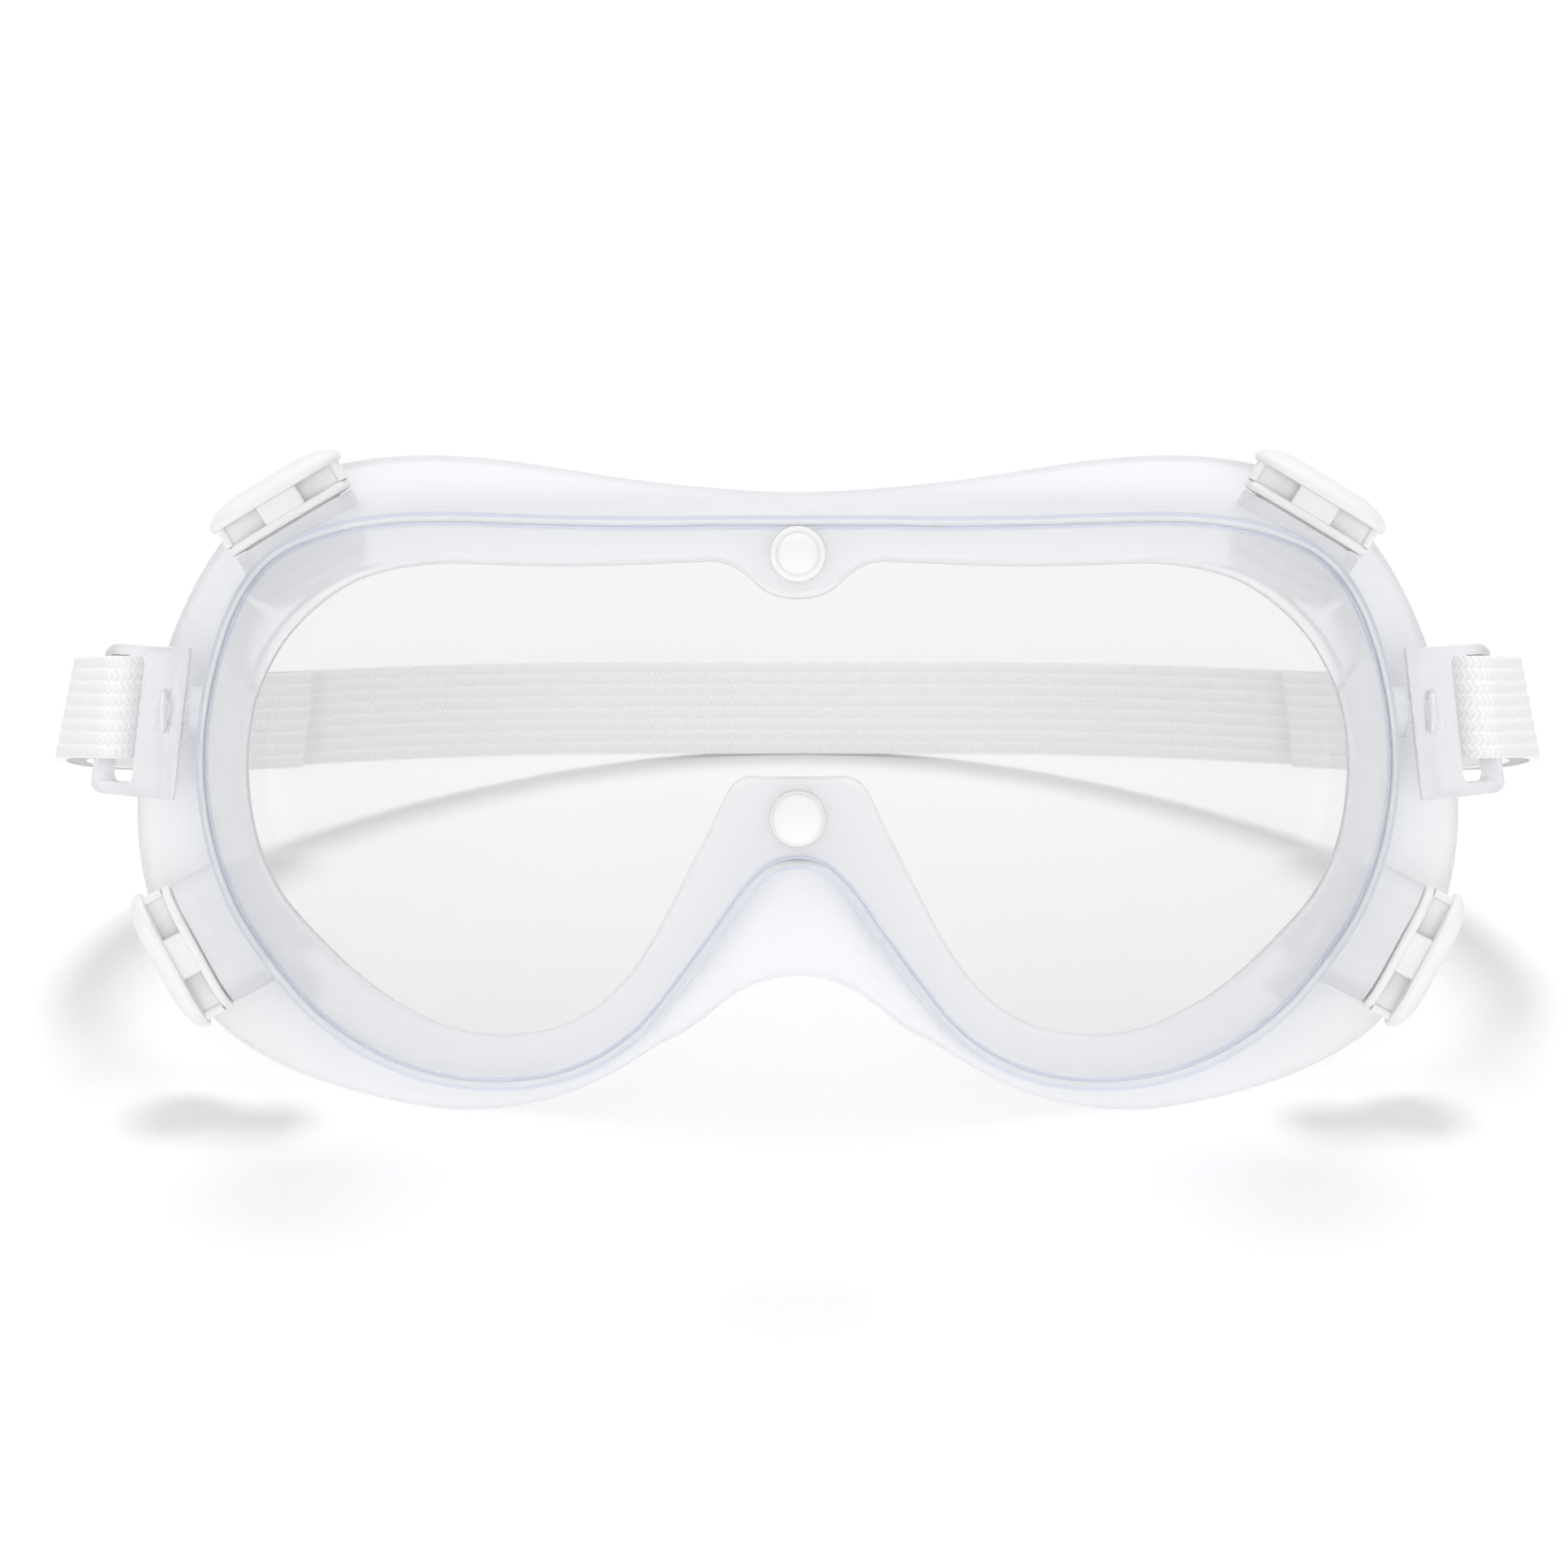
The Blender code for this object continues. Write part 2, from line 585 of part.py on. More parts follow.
def clip_plan():
    """The clip seen from above, for the +x side: a straight blade whose inner face clears the boss."""
    half = CLIP_OUTWARD * CLIP_THICKNESS / 2
    tip = CLIP_BAR + CLIP_DIRECTION * CLIP_BAR_HALF
    outer_tip = tip + half
    inner_tip = tip - half
    inner_bend = inner_tip - CLIP_DIRECTION * (inner_tip.x - CLIP_INNER) / CLIP_DIRECTION.x
    heel = outer_tip - CLIP_DIRECTION * (outer_tip.x - CLIP_INNER - CLIP_HEEL) / CLIP_DIRECTION.x
    return [outer_tip, inner_tip, inner_bend, Vector((CLIP_INNER, heel.y - CLIP_HEEL)), heel]


def clip_mesh(side):
    plan = clip_plan()
    ends = []
    for z in (CLIP_BOTTOM, CLIP_TOP):
        shift = CLIP_LEAN * (HINGE_Z - z)
        ends.append([(side * (p.x + shift), p.y, z) for p in plan])
    return loop_mesh("strap_clip", ends, closed=False)


def along_x(name, shape, low, high):
    """An outline in y and z, drawn out along x."""
    sections = [[(x, y, z) for y, z in shape] for x in (low, high)]
    return loop_mesh(name, sections, closed=False)


def build_clips(goggles, hinge):
    """The clear rings, each with a rounded end, a slot for the strap and an eye for its pin."""
    to_hinge = Matrix.Translation(Vector((0.0, -HINGE_Y, -HINGE_Z)) * MM)
    tip_y = CLIP_BAR.y + CLIP_DIRECTION.y * CLIP_BAR_HALF + CLIP_THICKNESS / 2
    ring = rounded_rectangle((CLIP_FRONT, CLIP_BOTTOM), (tip_y, CLIP_TOP), CLIP_CORNER)
    slot = rounded_rectangle((SLOT_FRONT, SLOT_BOTTOM), (CLIP_BAR.y - CLIP_BAR_HALF, SLOT_TOP), SLOT_CORNER)
    ring_cutter = make_cutter("clip_ring", along_x("clip_ring", ring, -SIDE_REACH, SIDE_REACH), goggles)
    slot_cutter = make_cutter("clip_slot", along_x("clip_slot", slot, -SIDE_REACH, SIDE_REACH), goggles)
    eye_radius = PIN_RADIUS + GAP
    eye = turned_solid("clip_eye", ((eye_radius, EYE_START), (eye_radius, SIDE_REACH)), ROUND_SIDES)
    sink_radius = PIN_HEAD_RADIUS + GAP
    sink_profile = ((sink_radius, COUNTERBORE_FLOOR), (sink_radius, SIDE_REACH))
    sink = turned_solid("clip_sink", sink_profile, ROUND_SIDES)
    for side, word in ((-1, "left"), (1, "right")):
        clip = make_object(f"strap_clip_{word}", clip_mesh(side), CLEAR_PLASTIC, hinge, to_hinge)
        matrix = side_axis_matrix(side)
        combine(clip, ring_cutter, "INTERSECT")
        combine(clip, slot_cutter, "DIFFERENCE")
        combine(clip, make_cutter(f"clip_eye_{word}", eye, goggles, matrix), "DIFFERENCE")
        combine(clip, make_cutter(f"clip_sink_{word}", sink, goggles, matrix), "DIFFERENCE")


def build_pins(goggles):
    """Headed pins, from inside the frame's wall through the boss into the clip's counterbore."""
    inner = BOSS_BACK - GAP
    floor = COUNTERBORE_FLOOR + GAP
    head = PIN_HEAD_RADIUS
    edge = PIN_EDGE
    pin = turned_solid("clip_pin", (
        (head - edge, inner - PIN_HEAD), (head, inner - PIN_HEAD + edge), (head, inner),
        (PIN_RADIUS, inner), (PIN_RADIUS, floor),
        (head, floor), (head, PIN_OUTER - edge), (head - edge, PIN_OUTER)), ROUND_SIDES)
    for side, word in ((-1, "left"), (1, "right")):
        make_object(f"clip_pin_{word}", pin, CLEAR_PLASTIC, goggles, side_axis_matrix(side))


def ground_level():
    """Height of the lowest rim point once the goggles lean back, before the lean's shift."""
    points = frame_outline(2)
    return min(-rim_depth(p.x, p.y) * math.sin(LEAN) + p.y * math.cos(LEAN) for p in points)


def strap_rear_height():
    """Centre height of the band at the back, where its lower edge meets the ground."""
    rear = STRAP_ROUTE[-1][1]
    edge = (ground_level() + rear * math.sin(LEAN)) / math.cos(LEAN)
    return edge + STRAP_WIDTH / 2


def strap_height(y):
    """The band sinks from the clips to where it rests on the ground, and sags a little between."""
    front = CLIP_BAR.y
    rear = STRAP_ROUTE[-1][1]
    share = (y - front) / (rear - front)
    sag = STRAP_SAG * math.sin(math.pi * share) ** 2
    return HINGE_Z + (strap_rear_height() - HINGE_Z) * share - sag


def strap_half_path():
    """Centre line of one half, as (x, y, lean): inner layer, fold through the slot, outer layer."""
    route = [Vector((*p, lean)) for p, lean in zip(STRAP_ROUTE, STRAP_LEAN)]
    past_centre = Vector((-route[-2].x, route[-2].y, route[-2].z))
    outer = smooth_path(route + [past_centre], STRAP_STEPS, closed=False)[:-STRAP_STEPS]
    radius = STRAP_LAYER_SPACING / 2
    along = CLIP_DIRECTION
    outward = CLIP_OUTWARD
    turn_centre = CLIP_BAR - along * STRAP_FOLD
    lean = STRAP_LEAN[0]
    fold = []
    for i in range(STRAP_TURN_STEPS + 1):
        angle = math.pi * i / STRAP_TURN_STEPS
        p = turn_centre - outward * radius * math.cos(angle) - along * radius * math.sin(angle)
        fold.append(Vector((p.x, p.y, lean)))
    doubled = outer[:SLIDE_ROUTE_INDEX * STRAP_STEPS + 3]
    inner = []
    for i, p in enumerate(doubled):
        step = doubled[min(i + 1, len(doubled) - 1)] - doubled[max(i - 1, 0)]
        side = Vector((step.y, -step.x, 0.0)).normalized()
        inner.append(p - side * STRAP_LAYER_SPACING)
    return list(reversed(inner)) + fold + outer


def strap_section(path, i):
    """The band's rectangular cut at one point of the path."""
    p = path[i]
    step = path[min(i + 1, len(path) - 1)] - path[max(i - 1, 0)]
    side = Vector((step.y, -step.x)).normalized()
    centre = Vector((p.x, p.y, strap_height(p.y)))
    up = Vector((-p.z if p.x > 0 else p.z, 0.0, 1.0))
    half_up = up * STRAP_WIDTH / 2
    half_side = Vector((side.x, side.y, 0.0)) * STRAP_THICKNESS / 2
    corners = (half_side + half_up, half_side - half_up, -half_side - half_up, -half_side + half_up)
    return [centre + corner for corner in corners]


def build_strap(hinge):
    half = strap_half_path()
    mirrored = [Vector((-p.x, p.y, p.z)) for p in reversed(half[:-1])]
    path = half + mirrored
    sections = [strap_section(path, i) for i in range(len(path))]
    to_hinge = Matrix.Translation(Vector((0.0, -HINGE_Y, -HINGE_Z)) * MM)
    mesh = loop_mesh("headband_strap", sections, closed=False)
    return make_object("headband_strap", mesh, ELASTIC, hinge, to_hinge)


def box_between(name, low, high):
    """A box from its ranges in x, y and z."""
    base = [(low[0], low[1]), (high[0], low[1]), (high[0], high[1]), (low[0], high[1])]
    return prism(name, base, low[2], high[2])


def slide_matrix(side):
    """The adjuster's frame, x along the strap and z up the band, and the sign of y that points outwards."""
    here = Vector(STRAP_ROUTE[SLIDE_ROUTE_INDEX])
    before = Vector(STRAP_ROUTE[SLIDE_ROUTE_INDEX - 1])
    after = Vector(STRAP_ROUTE[SLIDE_ROUTE_INDEX + 1])
    along = (after - before).normalized()
    lean = STRAP_LEAN[SLIDE_ROUTE_INDEX]
    x_axis = Vector((side * along.x, along.y, 0.0))
    z_axis = Vector((-side * lean, 0.0, 1.0))
    y_axis = z_axis.cross(x_axis).normalized()
    z_axis = x_axis.cross(y_axis).normalized()
    matrix = Matrix((x_axis, y_axis, z_axis)).transposed().to_4x4()
    centre = Vector((side * here.x, here.y - HINGE_Y, strap_height(here.y) - HINGE_Z))
    matrix.translation = centre * MM
    return matrix, (1 if y_axis.x * side > 0 else -1)


def slide_pieces():
    """Ranges in x, y (outwards) and z of the two rails, the two outer bars and the middle bar."""
    end = SLIDE_LENGTH / 2
    layer = STRAP_THICKNESS / 2 + GAP
    face = layer + SLIDE_BAR_THICKNESS
    rail = STRAP_WIDTH / 2 + SLIDE_CLEARANCE
    bar_z = (-rail - SLIDE_OVERLAP, rail + SLIDE_OVERLAP)
    bar_y = (layer, face - SLIDE_STEP)
    bar_end = end - SLIDE_STEP
    return (
        ((-end, end), (-face, face), (rail, rail + SLIDE_RAIL)),
        ((-end, end), (-face, face), (-rail - SLIDE_RAIL, -rail)),
        ((end - SLIDE_BAR, bar_end), bar_y, bar_z),
        ((-bar_end, SLIDE_BAR - end), bar_y, bar_z),
        ((-SLIDE_BAR / 2, SLIDE_BAR / 2), (-layer - CLIP_THICKNESS, -layer), bar_z),
    )


def build_slides(hinge):
    """Three-bar adjusters: two bars outside the band, one between its layers, joined by two rails."""
    for side, word in ((-1, "left"), (1, "right")):
        matrix, out = slide_matrix(side)
        meshes = []
        for i, (xs, ys, zs) in enumerate(slide_pieces()):
            ys = sorted(y * out for y in ys)
            meshes.append(box_between(f"slide_{word}_{i}", (xs[0], ys[0], zs[0]), (xs[1], ys[1], zs[1])))
        slide = make_object(f"strap_slide_{word}", meshes[0], WHITE_PLASTIC, hinge, matrix)
        for mesh in meshes[1:]:
            combine(slide, make_cutter(mesh.name, mesh, hinge, matrix), "UNION")


def rest_on_ground(goggles, pieces):
    """Leans the goggles back, drops them on the ground and presses the touching edges flat."""
    goggles.rotation_euler = (-LEAN, 0.0, 0.0)
    goggles.location.z = -(ground_level() + SINK) * MM
    bpy.context.view_layer.update()
    depths = [(obj.matrix_world @ vertex.co).y for obj in pieces for vertex in obj.data.vertices]
    goggles.location.y = -(min(depths) + max(depths)) / 2
    half = GROUND_HALF
    slab = box_between("ground", (-half, -half, -GROUND_DEPTH), (half, half, 0.0))
    ground = make_cutter("ground", slab, None)
    for obj in pieces:
        combine(obj, ground, "DIFFERENCE")


def main():
    clear_scene()
    goggles = bpy.data.objects.new("goggles", None)
    bpy.context.scene.collection.objects.link(goggles)
    hinge = bpy.data.objects.new("headband_hinge", None)
    bpy.context.scene.collection.objects.link(hinge)
    hinge.parent = goggles
    hinge.location = Vector((0.0, HINGE_Y, HINGE_Z)) * MM
    frame = build_frame(goggles)
    lens = build_lens(goggles)
    build_rivets(goggles, frame, lens)
    build_vents(goggles)
    build_clips(goggles, hinge)
    build_pins(goggles)
    strap = build_strap(hinge)
    build_slides(hinge)
    rest_on_ground(goggles, (frame, strap))
    bpy.context.view_layer.update()


main()
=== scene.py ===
"""Looks of the splash goggles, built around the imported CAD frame.

Pieces are drawn in the goggles' own frame, in millimetres (x to the side, y from the lens towards
the face, z up the lens), and PLACE carries them to the leaning pose that the CAD stands in.
"""

import math

import bmesh
import bpy
from mathutils import Matrix, Vector
from mathutils.kdtree import KDTree

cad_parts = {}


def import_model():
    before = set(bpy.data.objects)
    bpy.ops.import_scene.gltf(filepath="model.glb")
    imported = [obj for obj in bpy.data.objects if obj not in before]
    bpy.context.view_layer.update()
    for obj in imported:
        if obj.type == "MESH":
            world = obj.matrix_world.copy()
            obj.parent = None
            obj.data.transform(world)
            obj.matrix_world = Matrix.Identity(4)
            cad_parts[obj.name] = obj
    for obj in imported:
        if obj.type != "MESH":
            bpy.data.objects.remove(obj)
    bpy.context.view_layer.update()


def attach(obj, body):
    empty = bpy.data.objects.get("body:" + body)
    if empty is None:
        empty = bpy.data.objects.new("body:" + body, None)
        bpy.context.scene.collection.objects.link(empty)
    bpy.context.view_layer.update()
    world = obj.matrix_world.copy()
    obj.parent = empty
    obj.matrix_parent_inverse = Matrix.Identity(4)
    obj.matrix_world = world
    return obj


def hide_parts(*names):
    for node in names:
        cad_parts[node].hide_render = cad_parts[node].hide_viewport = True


MM = 0.001
LOOK = "_look"             # ends each material name, after the record's slot
GAP = 0.3                  # clearance between pieces
ROUND_STEPS = 3            # steps of a rounded corner
ROUND_SHARE = 0.45         # the most of an edge's length that a rounded corner takes
OFFSET_STRETCH = 0.7       # keeps an offset line from running away at a sharp bend
ROUND_SIDES = 48
HOLE_SIDES = 32
LEAN = math.radians(18.0)
ORIGIN = Vector((0.0, -0.072949, 0.053227))
PLACE = Matrix.Translation(ORIGIN) @ Matrix.Rotation(-LEAN, 4, "X") @ Matrix.Scale(MM, 4)

# Lens and the channel that holds it
LENS_RADIUS = 100.0
LENS_THICKNESS = 2.0
LENS_INSET = 1.6
GROOVE_INSET = LENS_INSET - GAP
LIP_FRONT = -1.8
LIP_EDGE = 1.1             # from the opening to where the lip's face is flat
BEAD_WIDTH = 1.1
BEAD_SIDE = 0.1            # how far the foot of the bead's inner side stands out from its width
BEAD_FACE = (0.85, 0.05)   # inner and outer edge of the bead's front, as shares of its width
BEAD_FADE = 0.7            # from the bead inwards to where its blue has faded
BEAD_FRONT = -2.8
SIDE_FADE = 1.2            # from the lip's front back to where the outer edge's blue has faded
REAR_LIP_BACK = 5.0
REAR_LIP_SETBACK = 0.1
LENS_HALF_WIDTH = 80.0
LENS_HALF_HEIGHT = 45.0
LENS_COLUMNS = 150
BLANK_FRONT = -10.0
BLANK_BACK = 50.0

# Frame wall and face rim
WALL = 1.7
RIM_ROUND = 0.8            # rounding of the wall's edge at the face
BROW_DEPTH = 34.0
TEMPLE_SWEEP = 0.00368
NOSE_RELIEF = 14.0
NOSE_RELIEF_WIDTH = 22.0
WALL_PROFILE = ((0.0, 0.0), (0.10, 0.30), (0.35, 0.65), (0.70, 0.88), (1.0, 1.0))
WALL_STEPS = 4

# Look of the vinyl: how blue and how milky (frost) it is; the blue is partly thick vinyl's own and partly
# painted reflection of darker surroundings along the edges
WALL_BLUE_AND_REFLECTION = 0.15           # blue and painted reflection beside the channel
WALL_BLUE_AND_REFLECTION_REACH = 9.0      # where that blue and painted reflection has faded away
WALL_FROST = 0.75
RIM_FROST = 0.9
INSIDE_FROST = 0.5
GROOVE_FROST = 0.1
PLAIN_FROST = 0.8          # of the seats and bosses, which no moulded section passes through
PAINT_REACH = 2.0          # how far from a moulded section its blue, partly painted reflection, and frost carry

# Half outlines as (x, z), from the top centre down one side to the middle of the nose: the lens
# opening, the channel's outer edge and the face rim at the same place.
STATIONS = (
    ((0.0, 21.9), (0.0, 31.8), (0.0, 34.3)),
    ((3.5, 22.6), (3.6, 31.8), (3.7, 34.4)),
    ((6.2, 24.8), (7.2, 31.8), (7.4, 34.6)),
    ((9.0, 26.2), (10.8, 31.8), (11.0, 34.9)),
    ((13.0, 26.2), (15.0, 31.7), (15.4, 35.3)),
    ((20.0, 25.9), (21.5, 31.7), (22.5, 36.2)),
    ((27.5, 25.7), (28.5, 31.8), (30.0, 37.4)),
    ((35.0, 25.8), (36.0, 32.0), (38.0, 38.5)),
    ((42.5, 25.9), (43.8, 32.1), (46.5, 38.9)),
    ((48.6, 25.1), (51.0, 31.6), (54.5, 38.3)),
    ((53.9, 23.3), (58.0, 30.1), (62.3, 36.2)),
    ((59.0, 19.7), (64.6, 26.9), (69.5, 31.5)),
    ((63.1, 15.0), (69.4, 20.8), (75.5, 24.0)),
    ((66.2, 8.2), (72.7, 11.5), (80.3, 13.8)),
    ((67.1, 0.5), (74.0, 1.5), (83.6, 1.5)),
    ((66.0, -7.5), (72.9, -8.0), (84.3, -9.0)),
    ((63.0, -14.0), (69.8, -16.3), (82.6, -18.5)),
    ((58.2, -19.2), (65.2, -22.9), (79.0, -26.5)),
    ((52.5, -24.1), (59.2, -29.2), (72.8, -33.9)),
    ((47.5, -27.2), (52.4, -33.6), (64.0, -38.6)),
    ((42.0, -29.5), (45.0, -36.2), (54.0, -41.4)),
    ((36.0, -30.3), (37.3, -37.0), (43.5, -42.9)),
    ((29.5, -29.4), (29.8, -36.2), (34.5, -42.0)),
    ((24.5, -27.0), (23.4, -33.8), (27.5, -39.8)),
    ((20.5, -23.3), (18.2, -30.0), (21.8, -36.8)),
    ((17.2, -18.5), (14.2, -25.2), (17.4, -33.9)),
    ((14.6, -13.6), (11.4, -21.4), (13.9, -31.9)),
    ((12.2, -8.8), (9.0, -18.1), (11.4, -30.0)),
    ((9.9, -4.2), (6.9, -15.0), (9.3, -28.2)),
    ((8.0, -0.4), (5.0, -12.6), (7.0, -26.6)),
    ((6.2, 0.9), (3.3, -11.0), (4.7, -25.5)),
    ((3.0, 0.9), (1.6, -10.2), (2.3, -24.8)),
    ((0.0, 0.9), (0.0, -10.0), (0.0, -24.6)),
)
STATION_STEPS = 5

# Push rivets
RIVETS = {"top": (27.3, 2.5), "nose": (-4.0, 3.0)}
RIVET_HEAD_RADIUS = 3.3
RIVET_HEAD = 0.9
RIVET_SHANK_RADIUS = 1.3
RIVET_BORE_RADIUS = 0.75
RIVET_PIN_RADIUS = 0.45
RIVET_BARB_RADIUS = 1.9
RIVET_BARB = 1.0
RIVET_DOME = 1.0
RIVET_DOME_REST = 0.2      # height of the dome's widest point above its flat base
RIVET_DOME_CHAMFER = 0.15
RIVET_DOME_STEPS = 9
RIVET_DOME_END = math.radians(80.0)
RIVET_HOLE_REACH = 10.0
RIVET_HOLE_SIDES = 24

# Vents
VENT_LENGTH = 17.3
VENT_WIDTH = 9.6
VENT_PLATE = 1.2
VENT_NECK_INSET = 1.9
VENT_PORT_INSET = 2.8
VENT_BARB_INSET = 1.5
VENT_BARB = 1.3
VENT_RETAINER_OUTER = 0.8
VENT_RETAINER = 1.2
CAP_LENGTH = 18.7
CAP_WIDTH = 10.6
CAP_UNDERSIDE = 2.4
CAP_ROOT = 0.6
CAP_POST = 1.1
CAP_POST_HALF_WIDTH = 2.2
CAP_POST_OFFSET = 7.5
CAP_STEM = 5.6
CAP_STEM_WIDTH = 2.9
CAP_STEM_DEPTH = 2.6
CAP_WEB_HALF_WIDTH = 4.2
CAP_BAFFLE_HALF_WIDTH = 1.7
CAP_EDGE = 0.4
CAP_PROFILE = (            # (inset from the outline, height above the underside)
    (0.6, 0.0), (0.15, 0.1), (0.0, 0.4), (0.0, 0.75), (0.15, 1.1), (0.5, 1.5), (1.1, 1.9),
    (1.9, 2.25), (2.8, 2.5), (3.6, 2.67), (4.3, 2.77), (4.9, 2.8),
)
PORT_REACH = 3.0           # how far the hole for a vent runs past both of the seat's faces
SEAT_LENGTH = 16.6
SEAT_WIDTH = 9.4
ARC_STEPS = 16
CORNER_STEPS = 8
VENTS = {
    "upper": ((63.0, 35.6, 31.6), 59.0, -6.3),
    "lower": ((75.6, 43.0, -22.9), -28.4, -10.5),
}

# Side clips and pins
HINGE_Y = 46.5
HINGE_Z = 6.6
BOSS_RADIUS = 3.2
BOSS_FACE = 76.1
BOSS_BACK = 71.9
CLIP_TOP = 14.7
CLIP_BOTTOM = -4.3
CLIP_LEAN = 0.115
CLIP_DIRECTION = Vector((0.507, 0.862))
CLIP_OUTWARD = Vector((0.862, -0.507))
CLIP_BAR = Vector((87.9, 62.5))
CLIP_INNER = 76.7
CLIP_HEEL = 0.5
CLIP_THICKNESS = 2.0
CLIP_BAR_HALF = 0.9
CLIP_CORNER = 4.2
CLIP_BEVEL = 0.35
BEVEL_SEGMENTS = 3
BEVEL_ANGLE = math.radians(35.0)
CLIP_FRONT = 38.0
SLOT_FRONT = 52.4
SLOT_BOTTOM = -2.7
SLOT_TOP = 13.4
SLOT_CORNER = 1.2
SIDE_REACH = 120.0
EYE_START = 60.0
PIN_RADIUS = 1.5
PIN_HEAD_RADIUS = 2.6
EYE_RADIUS = PIN_RADIUS + GAP
SINK_RADIUS = PIN_HEAD_RADIUS + GAP    # of the counterbore that holds the pin's head
PIN_HEAD = 0.9
PIN_ROUND = 0.3            # rounding of the heads' edges
PIN_ROUND_MIDDLE = 0.08    # how far the middle of that rounding is in from both faces
PIN_OUTER = 79.8
COUNTERBORE_FLOOR = 78.6

# Headband
STRAP_WIDTH = 13.0
STRAP_SAG = 2.0
STRAP_THICKNESS = 1.6
STRAP_LAYER_SPACING = CLIP_THICKNESS + STRAP_THICKNESS + 2 * GAP
STRAP_FOLD = 3.0
STRAP_ROUTE = (
    (91.7, 65.3), (93.6, 71.5), (94.7, 79.0), (94.3, 87.5), (91.8, 97.5), (87.1, 107.7), (80.1, 118.0),
    (70.7, 128.2), (59.2, 138.0), (46.2, 146.8), (31.7, 154.2), (16.2, 159.0), (0.0, 160.7),
)
STRAP_LEAN = (
    0.115, 0.17, 0.21, 0.22, 0.20, 0.18, 0.15,
    0.12, 0.09, 0.06, 0.03, 0.01, 0.0,
)
STRAP_STEPS = 8
STRAP_TURN_STEPS = 16
STRAP_RIBS = 8
STRAP_RIB_DEPTH = 0.16
STRAP_RIB_POINTS = 6
STITCH = 0.7               # length of one zigzag along the band
STITCH_SLANT = 1.6         # how far a zigzag leans, in stitches
SLIDE_ROUTE_INDEX = 6
SLIDE_LENGTH = 10.0
SLIDE_RAIL = 1.4
SLIDE_BAR = 2.2
SLIDE_BAR_THICKNESS = 1.2
SLIDE_CLEARANCE = 0.9
SLIDE_OVERLAP = 0.5
SLIDE_STEP = 0.1
SLIDE_BEVEL = 0.3

# Camera and studio
CAMERA_ELEVATION = math.radians(21.0)
CAMERA_DISTANCE = 0.8
CAMERA_LENS = 155.0
CAMERA_SENSOR = 36.0
CAMERA_SHIFT = -17.0 / 1932.0
WORLD_HORIZON = 0.64
WORLD_ZENITH = 0.82
SUNS = (                   # name, direction towards it, angle in degrees, strength
    ("overhead", (0.0, 0.60, 1.0), 18.0, 1.15),
    ("front_fill", (0.0, -1.0, 0.22), 40.0, 1.0),
)
FLOOR_HALF = 6.0
FLOOR_DROP = 0.0002        # keeps the floor just under the rim and the band


# ---------------------------------------------------------------- curves and meshes

def smooth_path(points, steps, closed):
    """Samples a Catmull-Rom curve through the points."""
    count = len(points)

    def at(i):
        return points[i % count] if closed else points[min(max(i, 0), count - 1)]

    path = []
    for i in range(count if closed else count - 1):
        p0, p1, p2, p3 = at(i - 1), at(i), at(i + 1), at(i + 2)
        for step in range(steps):
            t = step / steps
            path.append(0.5 * (2 * p1 + (p2 - p0) * t + (2 * p0 - 5 * p1 + 4 * p2 - p3) * t ** 2
                               + (3 * p1 - p0 - 3 * p2 + p3) * t ** 3))
    if not closed:
        path.append(points[-1])
    return path


def rounded(corners):
    """A closed outline whose (point, radius) corners are rounded with short curves."""
    points = []
    count = len(corners)
    for i, (corner, radius) in enumerate(corners):
        if radius == 0.0:
            points.append(corner)
            continue
        before = corners[i - 1][0] - corner
        after = corners[(i + 1) % count][0] - corner
        start = corner + before.normalized() * min(radius, before.length * ROUND_SHARE)
        end = corner + after.normalized() * min(radius, after.length * ROUND_SHARE)
        for k in range(ROUND_STEPS + 1):
            t = k / ROUND_STEPS
            points.append(start * (1 - t) ** 2 + corner * 2 * t * (1 - t) + end * t ** 2)
    return points


def loop_mesh(name, sections, closed):
    """Joins sections with equal point counts into a ring, or into a bar with end caps."""
    size = len(sections[0])
    points = [Vector(point) for section in sections for point in section]
    faces = []
    spans = len(sections) if closed else len(sections) - 1
    for i in range(spans):
        j = (i + 1) % len(sections)
        for k in range(size):
            m = (k + 1) % size
            faces.append((i * size + k, i * size + m, j * size + m, j * size + k))
    if not closed:
        faces.append(tuple(range(size)))
        faces.append(tuple(range(len(points) - size, len(points))))
    mesh = bpy.data.meshes.new(name)
    mesh.from_pydata(points, [], faces)
    turn_outwards(mesh)
    return mesh


def turn_outwards(mesh):
    shape = bmesh.new()
    shape.from_mesh(mesh)
    bmesh.ops.recalc_face_normals(shape, faces=shape.faces)
    shape.to_mesh(mesh)
    shape.free()


def prism(name, shape, low, high):
    sections = [[(x, y, z) for x, y in shape] for z in (low, high)]
    return loop_mesh(name, sections, closed=False)


def along_x(name, shape, low, high):
    sections = [[(x, y, z) for y, z in shape] for x in (low, high)]
    return loop_mesh(name, sections, closed=False)


def turned_solid(name, profile, sides=ROUND_SIDES):
    """A solid of revolution about z whose (radius, z) profile ends in flat discs."""
    angles = [2 * math.pi * i / sides for i in range(sides)]
    sections = [[(r * math.cos(a), r * math.sin(a), z) for a in angles] for r, z in profile]
    return loop_mesh(name, sections, closed=False)


def turned_ring(name, profile, sides=ROUND_SIDES):
    """A solid of revolution about z whose (radius, z) profile closes on itself."""
    sections = []
    for i in range(sides):
        angle = 2 * math.pi * i / sides
        sections.append([(r * math.cos(angle), r * math.sin(angle), z) for r, z in profile])
    return loop_mesh(name, sections, closed=True)


def stadium(length, width, inset=0.0):
    """A slot-shaped outline with round ends, along x."""
    radius = width / 2 - inset
    straight = (length - width) / 2
    shape = []
    for side in (1, -1):
        for i in range(ARC_STEPS + 1):
            angle = math.pi * (i / ARC_STEPS - 0.5)
            shape.append((side * (straight + radius * math.cos(angle)), side * radius * math.sin(angle)))
    return shape


